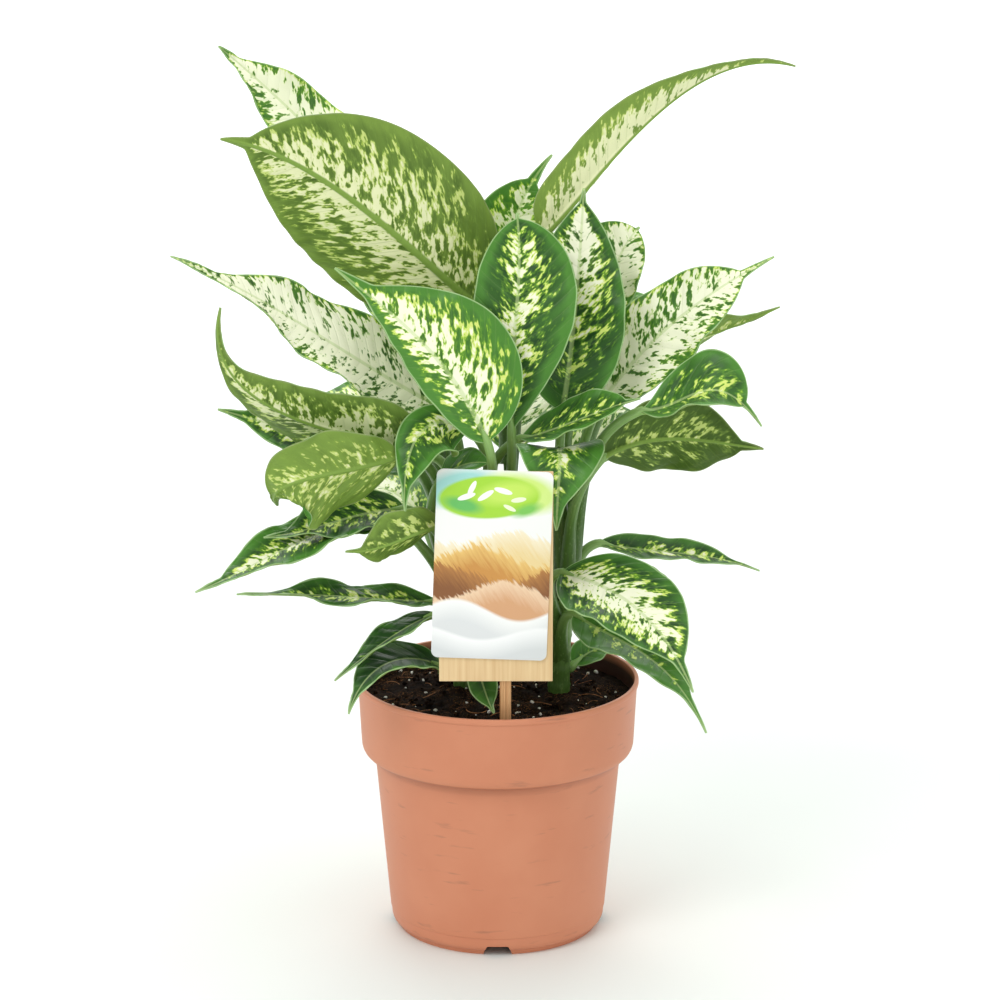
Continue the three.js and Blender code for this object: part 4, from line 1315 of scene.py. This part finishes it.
    def surface(self, t: np.ndarray, v: np.ndarray) -> np.ndarray:
        """Draws the middle surface of the blade.

        Args:
            t: Along the blade, from 0 at its base to 1 at its tip.
            v: Across the blade, from -1 at its left edge to 1 at its right edge.

        Returns:
            The points, in millimetres.
        """
        along = self.rib_along(t)
        start, end = np.array(self.faces, dtype=float)
        facing = start + (end - start) * t[:, None]
        up = unit(facing - (facing * along).sum(1, keepdims=True) * along)
        side = np.cross(along, up)
        half = self.half_width(t, v)
        reach = np.abs(v)
        fold, curl = math.radians(self.fold), math.radians(self.curl)
        out = half * (np.sin(fold + curl * reach) - math.sin(fold)) / curl
        lift = half * (math.cos(fold) - np.cos(fold + curl * reach)) / curl
        start_at = self.phase + np.where(v < 0, 0, 2)
        swing = np.sin(math.tau * self.waves * t + start_at) * np.sin(math.pi * t)
        lift = lift + self.wave * swing * reach**2
        return self.rib_at(t) + side * (np.sign(v) * out)[:, None] + up * lift[:, None]

    def seed(self) -> float:
        """Returns a number of the leaf's own, from its name."""
        return sum(ord(letter) * (k + 3) for k, letter in enumerate(self.name)) % 97

    def variegate(self, made: Piece, t: np.ndarray, v: np.ndarray, vein: np.ndarray, rib: np.ndarray) -> None:
        """Stores what the leaf's finishes read.

        Args:
            made: The blade.
            t: Along the blade, from 0 at its base to 1 at its tip.
            v: Across the blade, from -1 to 1.
            vein: Where the side vein through each point leaves the midrib, in millimetres.
            rib: How far the midrib reaches on each side, in millimetres.
        """
        half = self.half_width(t, v)
        reach = np.abs(v * half)
        inshore = half - reach
        density, loss, band = self.kind.value
        inland = smoothstep(0.3 * band, 1.8 * band, inshore)
        ends = smoothstep(0.0, 0.14, t) * smoothstep(1.0, 0.8, t)
        cream = density + self.cream + self.tipward * (t - 0.5) - loss * np.abs(v) ** self.EDGE_POWER
        cream = cream - self.MARGIN_GREEN * (1 - inland) - self.END_GREEN * (1 - ends)
        tone_and_shade = self.tone_and_shade - self.EDGE_TONE * (1 - smoothstep(1, 9, inshore))
        store(made, "vein_place", vein, v * half, vein * 0 + 7.3 * self.seed())
        store(made, "leaf_mix", cream, tone_and_shade, reach / rib)
        store(made, "leaf_rim", inshore)

    def blade(self) -> Piece:
        """Returns the blade: a grid laid on the leaf's surface, puckered, thickened and keeled."""
        made = primitive(
            f"{self.name}_blade", "grid", x_subdivisions=self.COLUMNS, y_subdivisions=self.ROWS, size=2
        )
        flat = points_of(made)
        v = np.sign(flat[:, 0]) * np.abs(flat[:, 0]) ** self.MIDRIB_CROWDING
        t = (flat[:, 1] + 1) / 2
        t = t - self.END_CROWDING * np.sin(math.tau * t) / math.tau
        step = 0.004
        across = self.surface(t, v + step) - self.surface(t, v - step)
        along = self.surface(np.minimum(1, t + step), v) - self.surface(np.maximum(0, t - step), v)
        normal = unit(np.cross(across, along))
        x = v * self.half_width(t, v)
        y = run_along(self.rib_at, t, 120)
        reach = np.abs(x)
        vein = y - self.VEIN_SLANT * reach - self.VEIN_BEND * reach**2
        inner = (1 - v**2) * smoothstep(1.5, 7, reach)
        bulge = self.pucker * np.cos(math.tau * vein / self.PUCKER_SPACING + self.seed()) * inner
        crimp = np.sin(math.tau * y / self.RIPPLE_SPACING + self.seed() * v) * np.abs(v) ** 3
        ripple = self.RIPPLE * crimp * np.sin(math.pi * t)
        channel = self.CHANNEL_DEPTH * np.exp(-((x / self.CHANNEL_WIDTH) ** 2)) * (1 - 0.7 * t)
        middle = self.surface(t, v) + normal * (bulge + ripple - channel)[:, None]
        move_points(made, middle * MM)
        rib = (self.MIDRIB + self.MIDRIB_GROWTH * self.width) * (1 - self.MIDRIB_TAPER * t)
        self.variegate(made, t, v, vein, rib)
        for _ in range(self.SKINS):
            made.data.materials.append(None)
        skins = {"material_offset": 1, "material_offset_rim": 2}
        apply(made, "SOLIDIFY", thickness=self.THICKNESS * MM, offset=0, **skins)
        points = points_of(made)
        keel = (self.KEEL_DEPTH * (1 - t) ** 0.8 + self.KEEL_TIP_DEPTH) * np.exp(-((x / (1.1 * rib)) ** 2))
        points[len(t) : 2 * len(t)] -= normal * (keel - channel)[:, None] * MM
        move_points(made, points)
        return made

    def stalk(self, foot: np.ndarray) -> Piece:
        """Shapes the stalk, which climbs along the cane, sheathing it, and bends over to the midrib.

        Args:
            foot: Where it leaves the middle of the cane, in metres.

        Returns:
            The stalk.
        """
        along = self.rib_along(np.zeros(1))[0]
        end = self.rib_at(np.zeros(1))[0] * MM - along * SEAT_GAP
        span = np.linalg.norm(end - foot)
        outwards = (end - foot) * np.array([self.SPREAD, self.SPREAD, 0])
        first = foot + outwards + np.array([0, 0, self.RISE * span])
        second = end - along * self.APPROACH * span - np.array([0, 0, self.SAG * span])

        def path(share: np.ndarray) -> np.ndarray:
            """Follows the stalk up to the blade, then runs on under the midrib."""
            on = np.maximum(0, share - self.STALK_END)[:, None] / (1 - self.STALK_END)
            climb = bow(np.minimum(1, share / self.STALK_END), foot, first, second, end)
            return climb + along * on * self.STALK_REACH * MM

        def radius(share: np.ndarray, turn: np.ndarray) -> np.ndarray:
            """Narrows from a clasping sheath to a round stalk that fades out under the midrib."""
            plain = self.STALK_RADIUS - self.STALK_TAPER * share
            sheath = self.SHEATH * smoothstep(0.55, 0.1, share) * np.abs(np.sin(turn))
            taper = 1 - 0.75 * smoothstep(self.STALK_END, 1, share)
            return (plain + sheath) * taper * MM

        return tube(f"{self.name}_stalk", path, radius, steps=30, sides=14, seed=self.seed())


@dataclass
class Cane:
    """A fleshy cane that stands upright in the mix and leans above it, in millimetres."""

    name: str
    foot: tuple[float, float]
    top: Point
    foot_radius: float = 7.5
    top_radius: float = 5.0
    socket_floor: float = 112.0
    lean_from: float = 148.0
    scar_spacing: float = 11.0
    scar_height: float = 0.5

    def centre(self, z: np.ndarray) -> np.ndarray:
        """Finds the cane's middle at some heights.

        Args:
            z: The heights, in millimetres.

        Returns:
            The points, in metres.
        """
        z = np.asarray(z, dtype=float)
        lean = 2 * smoothstep(self.lean_from, 2 * self.top[2] - self.lean_from, z)
        x = self.foot[0] + (self.top[0] - self.foot[0]) * lean
        y = self.foot[1] + (self.top[1] - self.foot[1]) * lean
        return np.stack((x, y, z), -1) * MM

    def trunk(self) -> Piece:
        """Returns the cane itself, ringed with old leaf scars."""
        low, high = self.socket_floor, self.top[2]

        def path(share: np.ndarray) -> np.ndarray:
            """Climbs from the socket's floor to the top."""
            return self.centre(low + (high - low) * share)

        def radius(share: np.ndarray, _: np.ndarray) -> np.ndarray:
            """Narrows upwards, with a raised ring at each scar and a rounded end."""
            from_scar = (low + (high - low) * share) % self.scar_spacing - self.scar_spacing / 2
            ring = self.scar_height * np.exp(-(from_scar**2))
            plain = self.foot_radius + (self.top_radius - self.foot_radius) * share
            return (plain + ring) * np.sqrt(1 - smoothstep(0.96, 1.002, share)) * MM

        return tube(f"{self.name}_trunk", path, radius, steps=60, sides=20, seed=len(self.name))

    def build(self, leaves: list[Leaf], skin: Material) -> None:
        """Builds the cane with the stalks of its leaves, and dresses it."""
        parts = [self.trunk(), *(leaf.stalk(self.centre(leaf.stalk_from)) for leaf in leaves)]
        hand_over(join(f"{self.name}_with_stalks", parts), [skin], "green_stalk", self.name)


CANES = (
    Cane("cane_front_right", (37, 4), (43, -8, 222)),
    Cane("cane_front_left", (-20, 12), (-32, -14, 232)),
    Cane("cane_centre", (4, 24), (6, 16, 270)),
    Cane("cane_back_left", (-30, 42), (-34, 46, 262)),
    Cane("cane_back_right", (36, 44), (40, 46, 250)),
)

FEATHERED, WHITISH, PLAIN = LeafKind.FEATHERED, LeafKind.WHITISH, LeafKind.PLAIN

# Tones past 1 are painted shade, for leaves that lie in shade within the plant.
LEAVES = (
    Leaf("leaf_top_left_far", "cane_back_left", 235,
         ((-61, 50, 412), (-96, 55, 461), (-136, 55, 502), (-164, 45, 529)), 46,
         ((0.1, -0.8, 0.6), (0.2, -0.8, 0.5)), 4, 3, widest=0.4, kind=WHITISH, cream=-0.05, tone_and_shade=0.4),
    Leaf("leaf_top_left_broad", "cane_centre", 240,
         ((-4, -5, 376), (-51, -25, 423), (-102, -45, 467), (-156, -60, 491)), 102,
         ((0, 0.97, 0), (0.1, 0.95, 0.2)), 3, 2,
         widest=0.45, point=0.92, fold=6, lean=-0.05, cream=0, tone_and_shade=0.8),
    Leaf("leaf_left_white", "cane_front_left", 222,
         ((-35, -20, 327), (-81, -46, 361), (-128, -83, 400), (-179, -128, 437)), 58,
         ((0.2, -0.7, 0.65), (0.1, -0.6, 0.8)), 4, 3, lean=-0.06, kind=WHITISH, cream=0.05, tone_and_shade=0.8),
    Leaf("leaf_centre_left", "cane_front_left", 226,
         ((-6, -66, 317), (-28, -66, 357), (-56, -58, 386), (-93, -50, 415)), 62,
         ((0.3, -0.9, 0.3), (0.1, -0.85, 0.5)), 1.5, 2, widest=0.38, fold=6, lean=0.36, cream=0, tone_and_shade=0.4),
    Leaf("leaf_centre", "cane_centre", 236,
         ((8, -42, 318), (9, -46, 365), (12, -40, 405), (11, -33, 444)), 60,
         ((0, -0.95, 0.2), (0, -0.9, 0.4)), 1.5, 2,
         widest=0.6, point=0.97, fold=6, lean=0.16, kind=FEATHERED, cream=-0.78, tone_and_shade=1),
    Leaf("leaf_centre_right", "cane_front_right", 210,
         ((38, -24, 325), (43, -26, 365), (47, -18, 408), (50, -8, 454)), 62,
         ((-0.1, -0.95, 0.2), (-0.1, -0.9, 0.3)), 2, 2,
         widest=0.45, point=0.95, fold=6, cream=-0.25, tipward=2, tone_and_shade=1.1),
    Leaf("leaf_top_right_rolled", "cane_centre", 262,
         ((26, -2, 425), (62, 21, 461), (114, 56, 503), (179, 90, 511)), 52,
         ((-0.45, 0.7, 0.45), (-0.2, 0.5, 0.8)), 2, 2, widest=0.3, fold=15, curl=30, cream=0.35, tone_and_shade=0.1),
    Leaf("leaf_centre_back", "cane_centre", 250,
         ((9, 29, 362), (7, 33, 388), (10, 33, 425), (32, 31, 467)), 60,
         ((0, -0.9, 0.3), (0, -0.9, 0.4)), 1.5, 2, widest=0.55, cream=0.05, tone_and_shade=0.3),
    Leaf("leaf_right_pale_back", "cane_back_right", 225,
         ((54, 24, 354), (63, 26, 379), (71, 26, 404), (84, 30, 424)), 46,
         ((-0.2, -0.9, 0.3), (-0.2, -0.85, 0.4)), 3, 3,
         widest=0.62, point=0.97, lean=-0.2, kind=WHITISH, cream=0.05),
    Leaf("leaf_right_white", "cane_front_right", 216,
         ((59, 0, 321), (84, -5, 355), (116, -12, 386), (160, -20, 416)), 57,
         ((-0.3, -0.75, 0.5), (-0.2, -0.7, 0.65)), 3, 3,
         widest=0.55, lean=0.1, kind=WHITISH, cream=-0.08, tone_and_shade=0.6),
    Leaf("leaf_right_behind", "cane_back_right", 214,
         ((94, 34, 349), (117, 39, 355), (141, 42, 362), (169, 44, 373)), 38,
         ((-0.2, 0.6, 0.8), (-0.2, 0.6, 0.8)), 2, 2, cream=-0.5, tone_and_shade=0),
    Leaf("leaf_right_drooping", "cane_front_right", 205,
         ((83, -48, 331), (106, -58, 340), (126, -66, 347), (151, -70, 327)), 52,
         ((-0.1, -0.45, 0.9), (0.4, -0.5, 0.7)), 2, 2,
         widest=0.58, fold=14, curl=16, cream=-0.75, tipward=-0.6, tone_and_shade=0.9),
    Leaf("leaf_right_lower", "cane_front_right", 200,
         ((62, -30, 299), (92, -24, 308), (123, -27, 308), (155, -35, 305)), 54,
         ((0, 0.92, 0.35), (0, 0.92, 0.35)), 2.5, 3, widest=0.5, lean=-0.08, cream=-0.65, tone_and_shade=1.9),
    Leaf("leaf_right_edge_on", "cane_centre", 214,
         ((13, -38, 312), (35, -44, 320), (59, -50, 331), (82, -56, 340)), 40,
         ((0, -0.35, 0.95), (0, -0.35, 0.95)), 1, 2, widest=0.55, cream=-0.6, tone_and_shade=1),
    Leaf("leaf_centre_under", "cane_front_left", 196,
         ((-33, -46, 290), (-24, -51, 298), (-12, -55, 302), (0, -56, 300)), 26,
         ((0, -0.4, 0.9), (0, -0.4, 0.9)), 1.5, 2, kind=PLAIN, tone_and_shade=0.8),
    Leaf("leaf_front_hanging", "cane_front_right", 196,
         ((35, -36, 304), (36, -56, 307), (35, -67, 291), (34, -62, 263)), 52,
         ((0, -0.3, 0.95), (0.1, -0.97, 0.1)), 1.5, 2,
         widest=0.3, fold=6, curl=6, kind=FEATHERED, cream=-0.95, tipward=-0.8, tone_and_shade=0.8),
    Leaf("leaf_front_left_hanging", "cane_front_left", 214,
         ((-17, -50, 321), (-40, -62, 325), (-51, -76, 309), (-53, -82, 280)), 38,
         ((-0.1, -0.85, 0.5), (-0.5, -0.8, 0.1)), 1.5, 2,
         fold=6, curl=6, lean=-0.35, kind=FEATHERED, cream=-1, tipward=-0.5, tone_and_shade=1),
    Leaf("leaf_left_upturned", "cane_front_left", 206,
         ((-55, -48, 308), (-95, -75, 326), (-141, -94, 354), (-154, -107, 404)), 56,
         ((0, 0.9, 0.4), (0.6, 0.7, 0.3)), 2, 2, widest=0.28, cream=0, tipward=-0.5, tone_and_shade=0.9),
    Leaf("leaf_left_behind", "cane_front_left", 198,
         ((-57, -16, 295), (-93, -30, 308), (-126, -42, 320), (-161, -53, 333)), 54,
         ((0, -0.7, 0.7), (0, -0.7, 0.7)), 2, 2, widest=0.45, kind=FEATHERED, cream=-0.7, tone_and_shade=1.1),
    Leaf("leaf_left_puckered", "cane_front_left", 190,
         ((-56, -65, 309), (-85, -91, 307), (-116, -108, 303), (-126, -80, 283)), 60,
         ((0, 0.9, 0.25), (0.1, 0.95, 0.1)), 3, 3,
         widest=0.52, fold=4, curl=14, lean=0.2, cream=-0.4, tone_and_shade=0.15, pucker=1.2),
    Leaf("leaf_left_shaded", "cane_front_left", 184,
         ((-44, 12, 290), (-60, 4, 287), (-76, -6, 284), (-93, -16, 280)), 26,
         ((0, -0.5, 0.85), (0, -0.5, 0.85)), 1, 2, kind=PLAIN, tone_and_shade=1),
    Leaf("leaf_low_left_long", "cane_front_left", 172,
         ((-58, -40, 262), (-91, -64, 267), (-131, -98, 257), (-169, -134, 247)), 36,
         ((0, -0.45, 0.9), (-0.1, -0.45, 0.9)), 3, 3,
         widest=0.5, kind=FEATHERED, cream=-0.8, tipward=0.3, tone_and_shade=1.1),
    Leaf("leaf_low_left_upper", "cane_front_left", 178,
         ((-54, -46, 272), (-80, -61, 272), (-105, -77, 269), (-133, -95, 268)), 40,
         ((0, -0.5, 0.85), (-0.1, -0.5, 0.85)), 3, 3, cream=-0.5, tone_and_shade=1.3),
    Leaf("leaf_low_left_curled", "cane_front_left", 168,
         ((-33, -57, 265), (-50, -71, 263), (-67, -82, 259), (-87, -89, 258)), 38,
         ((0, 0.85, 0.4), (0, 0.85, 0.4)), 2, 2, widest=0.5, curl=20, cream=-0.6, tone_and_shade=0.9),
    Leaf("leaf_low_left_flat", "cane_front_left", 158,
         ((-35, -38, 213), (-73, -50, 219), (-112, -60, 224), (-151, -70, 227)), 26,
         ((0, -0.25, 0.95), (0, -0.25, 0.95)), 3.5, 2.3, widest=0.42, phase=-2.85, cream=-0.4, tone_and_shade=1.2),
    Leaf("leaf_low_left_arching", "cane_front_left", 154,
         ((-36, -46, 208), (-55, -60, 203), (-75, -76, 193), (-94, -90, 181)), 26,
         ((-0.3, -0.15, 0.95), (-0.4, -0.15, 0.9)), 1.5, 2, kind=PLAIN, cream=-0.8, tone_and_shade=1.8),
    Leaf("leaf_rim_left", "cane_front_left", 150,
         ((-33, -42, 174), (-54, -60, 185), (-73, -80, 182), (-86, -94, 162)), 36,
         ((-0.2, -0.5, 0.85), (-0.5, -0.5, 0.6)), 1.5, 2, fold=6, kind=PLAIN, cream=-1.2, tone_and_shade=1.9),
    Leaf("leaf_low_right_broad", "cane_front_right", 170,
         ((38, -34, 230), (67, -62, 226), (91, -92, 213), (111, -124, 185)), 62,
         ((0.1, -0.6, 0.8), (0.3, -0.7, 0.6)), 2, 2, widest=0.45, fold=6, lean=0.07, cream=0.05, tone_and_shade=1.1),
    Leaf("leaf_rim_right", "cane_front_right", 156,
         ((46, -20, 200), (72, -46, 192), (97, -74, 182), (120, -104, 154)), 39,
         ((0, -0.5, 0.85), (0.4, -0.5, 0.7)), 2, 2, fold=6, kind=PLAIN, tone_and_shade=0.6),
    Leaf("leaf_low_right_narrow", "cane_front_right", 178,
         ((61, 5, 237), (94, 10, 231), (126, 14, 226), (158, 18, 216)), 24,
         ((0, -0.4, 0.9), (0, -0.4, 0.9)), 1.5, 2, cream=-0.4, tone_and_shade=1.2),
    Leaf("leaf_soil_sprout", "cane_front_left", 150,
         ((-12, -40, 173), (-9, -50, 167), (-6, -58, 160), (-2, -62, 152)), 18,
         ((0, -0.6, 0.7), (0, -0.8, 0.5)), 0.5, 1, fold=6, kind=PLAIN, cream=-0.6, tone_and_shade=1.3),
    Leaf("leaf_soil_right", "cane_back_right", 150,
         ((46, 20, 156), (54, 26, 161), (62, 33, 162), (71, 40, 158)), 20,
         ((0, -0.5, 0.8), (0.3, -0.4, 0.8)), 0.5, 1, kind=PLAIN, tone_and_shade=1),
    Leaf("leaf_back_high", "cane_centre", 255,
         ((4, 34, 350), (4, 64, 390), (2, 100, 406), (-2, 132, 392)), 64,
         ((0, -0.8, 0.6), (0, 0.3, 0.95)), 2.5, 2, cream=0),
    Leaf("leaf_back_left_high", "cane_back_left", 240,
         ((-40, 58, 338), (-64, 82, 372), (-86, 104, 385), (-102, 118, 380)), 62,
         ((0.5, -0.6, 0.6), (-0.2, 0.2, 0.95)), 3, 3, kind=WHITISH, cream=-0.1),
    Leaf("leaf_back_right_high", "cane_back_right", 232,
         ((46, 60, 324), (72, 84, 350), (102, 104, 357), (134, 120, 340)), 60,
         ((-0.5, -0.6, 0.6), (0.2, 0.2, 0.95)), 2.5, 2, cream=0),
    Leaf("leaf_back_left_mid", "cane_back_left", 215,
         ((-44, 52, 280), (-76, 72, 302), (-110, 90, 304), (-142, 102, 284)), 56,
         ((0.5, -0.4, 0.75), (-0.2, 0.1, 0.95)), 2.5, 2, tone_and_shade=0.6),
    Leaf("leaf_back_mid", "cane_centre", 225,
         ((6, 50, 282), (12, 84, 304), (14, 112, 300), (14, 138, 274)), 60,
         ((0, -0.5, 0.85), (0, 0.4, 0.9)), 2.5, 2, kind=WHITISH, cream=-0.05, tone_and_shade=0.6),
    Leaf("leaf_back_right_mid", "cane_back_right", 208,
         ((46, 60, 264), (74, 80, 286), (102, 96, 288), (128, 108, 270)), 54,
         ((-0.4, -0.4, 0.8), (0.2, 0.2, 0.95)), 3, 3, kind=WHITISH, cream=-0.1),
    Leaf("leaf_back_left_low", "cane_back_left", 185,
         ((-46, 60, 236), (-70, 84, 250), (-96, 106, 244), (-118, 122, 220)), 46,
         ((0.3, -0.3, 0.9), (-0.3, 0.3, 0.9)), 2, 2, tone_and_shade=0.7),
    Leaf("leaf_back_low", "cane_back_right", 180,
         ((24, 62, 226), (22, 92, 240), (18, 116, 232), (14, 134, 206)), 44,
         ((0, -0.4, 0.9), (0, 0.5, 0.85)), 2, 2, cream=0.05, tone_and_shade=0.7),
    Leaf("leaf_back_right_low", "cane_back_right", 165,
         ((50, 56, 186), (72, 76, 198), (96, 92, 192), (116, 104, 170)), 44,
         ((-0.3, -0.3, 0.9), (0.3, 0.3, 0.9)), 2, 2, tone_and_shade=0.8),
    Leaf("leaf_back_rim", "cane_back_left", 165,
         ((-12, 58, 190), (-14, 80, 202), (-18, 102, 196), (-22, 118, 172)), 34,
         ((0, -0.3, 0.95), (-0.1, 0.5, 0.85)), 1.5, 2, kind=PLAIN, tone_and_shade=0.8),
)


@dataclass
class Foliage:
    """All the canes and leaves of the plant."""

    canes: tuple[Cane, ...] = CANES
    leaves: tuple[Leaf, ...] = LEAVES

    def build(self, skin: Material, tissues: list[Material]) -> None:
        """Builds each cane with its stalks, and each blade, and dresses them.

        Args:
            skin: The skin of canes and stalks.
            tissues: A blade's upper side, underside and margin.
        """
        for cane in self.canes:
            cane.build([leaf for leaf in self.leaves if leaf.cane == cane.name], skin)
        for leaf in self.leaves:
            slot = "pale_leaf" if leaf.kind is LeafKind.WHITISH else "green_leaf"
            hand_over(leaf.blade(), tissues, slot, leaf.name)


# ---------------------------------------------------------------------------------------------
# Care label
# ---------------------------------------------------------------------------------------------


@dataclass
class Card:
    """A card that stands on its lower edge, in millimetres, turned in its own plane by degrees."""

    name: str
    x: float
    y: float
    low: float
    width: float
    height: float
    thickness: float
    corner: float
    tilt: float
    tab: Point | None = None  # its middle across the card, and its widths at its foot and top

    TAB_HEIGHT = 3.8
    TAB_ROOT = 1.0  # how far the tab reaches down into the card
    EDGE = 0.12  # the rounding of the cut edges

    def raise_tab(self, card: Piece) -> None:
        """Raises the small tab, narrower at its top, from the upper edge.

        Args:
            card: The card's sheet, not yet bevelled.
        """
        middle, foot_width, top_width = self.tab
        tab = primitive("card_tab", "cube", size=1)
        points = points_of(tab) + np.array([0, -0.5, 0.5])
        points[:, 0] = middle + points[:, 0] * np.where(points[:, 2] > 0.5, top_width, foot_width)
        points[:, 1] *= self.thickness
        points[:, 2] = self.height - self.TAB_ROOT + points[:, 2] * (self.TAB_HEIGHT + self.TAB_ROOT)
        move_points(tab, points * MM)
        combine(card, tab, "UNION")

    def build(self, finish: Material, slot: str) -> None:
        """Builds the card with rounded corners and dresses it.

        Args:
            finish: Its material.
            slot: The material slot of the part that its finish belongs to.
        """
        made = primitive(f"{self.name}_sheet", "cube", size=1)
        size = np.array([self.width, self.thickness, self.height])
        move_points(made, (points_of(made) + np.array([0, -0.5, 0.5])) * size * MM)
        with editing(made, lambda start, end: abs(start.y - end.y) > 0.5 * self.thickness * MM):
            bpy.ops.mesh.bevel(offset=self.corner * MM, segments=8)
        if self.tab:
            self.raise_tab(made)
        apply(made, "BEVEL", width=self.EDGE * MM, segments=2, limit_method="ANGLE")
        plain = points_of(made)
        store(made, "card_place", plain[:, 0] / MM, plain[:, 2] / MM, plain[:, 1] / MM)
        turn = np.array(Matrix.Rotation(math.radians(self.tilt), 3, "Y"))
        move_points(made, plain @ turn.T + np.array([self.x, self.y, self.low]) * MM)
        hand_over(made, [finish], slot, self.name, crisp=30)


@dataclass
class CareLabel:
    """A grooved stick that carries a tan card, with a smaller printed card in front."""

    stick_x: float = 4.6
    stick_y: float = -70.0
    stick_low: float = 112.0
    stick_top: float = 296.0
    stick_width: float = 6.6
    stick_thickness: float = 2.2
    groove_depth: float = 0.5
    groove_half_width: float = 0.6
    groove_offset: float = 0.18  # from the stick's middle, as a share of its width
    back: Card = field(default_factory=lambda: Card("label_back_card", -1, -71.6, 175, 66, 126, 0.8, 0.4, 0))
    front: Card = field(
        default_factory=lambda: Card("label_front_card", -5.2, -73, 189, 67, 113, 0.8, 4, 2, (3, 4, 3))
    )

    def stick(self) -> Piece:
        """Returns the stick, with two grooves pressed into its front."""
        made = primitive("label_stick_birch", "cube", size=1)
        size = np.array([self.stick_width, self.stick_thickness, self.stick_top - self.stick_low])
        middle = np.array([self.stick_x, self.stick_y, (self.stick_top + self.stick_low) / 2])
        move_points(made, (points_of(made) * size + middle) * MM)
        bottoms = [self.stick_x + side * self.groove_offset * self.stick_width for side in (-1, 1)]
        with editing(made):
            for bottom in bottoms:
                for shift in (-self.groove_half_width, 0.0, self.groove_half_width):
                    bpy.ops.mesh.select_all(action="SELECT")
                    bpy.ops.mesh.bisect(plane_co=((bottom + shift) * MM, 0, 0), plane_no=(1, 0, 0))
        points = points_of(made)
        in_front = points[:, 1] < self.stick_y * MM
        for bottom in bottoms:
            at_bottom = np.abs(points[:, 0] - bottom * MM) < 0.1 * MM
            points[in_front & at_bottom, 1] += self.groove_depth * MM
        move_points(made, points)
        apply(made, "BEVEL", width=0.25 * MM, segments=2, limit_method="ANGLE", angle_limit=math.radians(60))
        return made

    def build(self, birch: Material, board: Material, printed: Material) -> None:
        """Builds the stick and both cards, and dresses them.

        Args:
            birch: The stick's finish.
            board: The back card's finish.
            printed: The front card's finish.
        """
        hand_over(self.stick(), [birch], "pale_wood", "label_stick", crisp=30)
        self.back.build(board, "tan_card")
        self.front.build(printed, "printed_card")


# ---------------------------------------------------------------------------------------------
# Studio
# ---------------------------------------------------------------------------------------------


@dataclass
class SoftBox:
    """A square lamp with soft edges that looks at a target, in metres and watts."""

    name: str
    place: Point
    size: float
    power: float
    target: Point = (0.0, 0.0, 0.26)

    def hang(self) -> None:
        """Hangs the lamp and turns it to its target."""
        bpy.ops.object.light_add(type="AREA", location=self.place)
        lamp = bpy.context.object
        lamp.name = self.name
        lamp.data.size = self.size
        lamp.data.energy = self.power
        gaze = Vector(self.target) - Vector(self.place)
        lamp.rotation_euler = gaze.to_track_quat("-Z", "Y").to_euler()


@dataclass
class Studio:
    """A white paper floor, soft light and the camera that the plant was seen with."""

    floor_size: float = 30.0
    sky: float = 0.78
    camera_place: Point = (0.0014, -2.070, 0.813)
    look_down: float = 14.83  # degrees
    lens: float = 129.6  # millimetres
    sensor: float = 36.0  # millimetres
    sight: float = 60.0
    boxes: tuple[SoftBox, ...] = (
        SoftBox("key_box", (-1.2, -1.7, 2.4), 1.2, 26.0),
        SoftBox("fill_box", (1.8, -1.4, 1.3), 1.4, 4.0),
        SoftBox("top_box", (0.3, 0.3, 2.4), 1.4, 9.0),
        SoftBox("backdrop_box", (0.0, 3.6, 2.6), 3.0, 110.0, (0.0, 3.8, 0.0)),
    )

    def build(self) -> None:
        """Lays the floor, hangs the lamps and sets up the camera."""
        floor = primitive("studio_floor", "plane", size=self.floor_size)
        floor.data.materials.append(StudioPaper().make())
        scene = bpy.context.scene
        scene.world = bpy.data.worlds.new("studio_sky")
        scene.world.use_nodes = True
        sky = scene.world.node_tree
        feed(sky, sky.nodes["Background"], {"Color": "#ffffff", "Strength": self.sky})
        for box in self.boxes:
            box.hang()
        turn = (math.radians(90 - self.look_down), 0, 0)
        bpy.ops.object.camera_add(location=self.camera_place, rotation=turn)
        scene.camera = bpy.context.object
        scene.camera.data.sensor_width = self.sensor
        scene.camera.data.lens = self.lens
        scene.camera.data.clip_end = self.sight
        scene.view_settings.view_transform = "Standard"


def main() -> None:
    """Builds the studio and every piece of the plant, and reports each."""
    logging.basicConfig(level=logging.INFO, format="%(name)s: %(message)s")
    Studio().build()
    NurseryPot().build(MouldedPolypropylene().make())
    perlite = Grit().make()
    bark = Grit(name="bark_fibre", roughness=0.8, dark="#6b3f22", pale="#a56e42").make()
    PottingMix().build(Peat().make(), perlite, bark)
    upper = LeafTissue()
    under = LeafTissue(
        name="leaf_lower_skin",
        roughness=0.48,
        side=LeafSide.UNDER,
        deep="#4a6622",
        light="#7a983f",
        glow="#88a747",
        lime="#a7c052",
        yellow="#cbda80",
        cream="#edf0bf",
        midrib="#82a147",
        midrib_share=1.0,
        margin="#94a36c",
        vein_tint=0.12,
    )
    tissues = [upper.make(), under.make(), LeafEdge().make()]
    Foliage().build(StalkSkin().make(), tissues)
    CareLabel().build(SplitBirch().make(), MatteBoard().make(), PrintedCard().make())


if __name__ == "__main__":
    main()
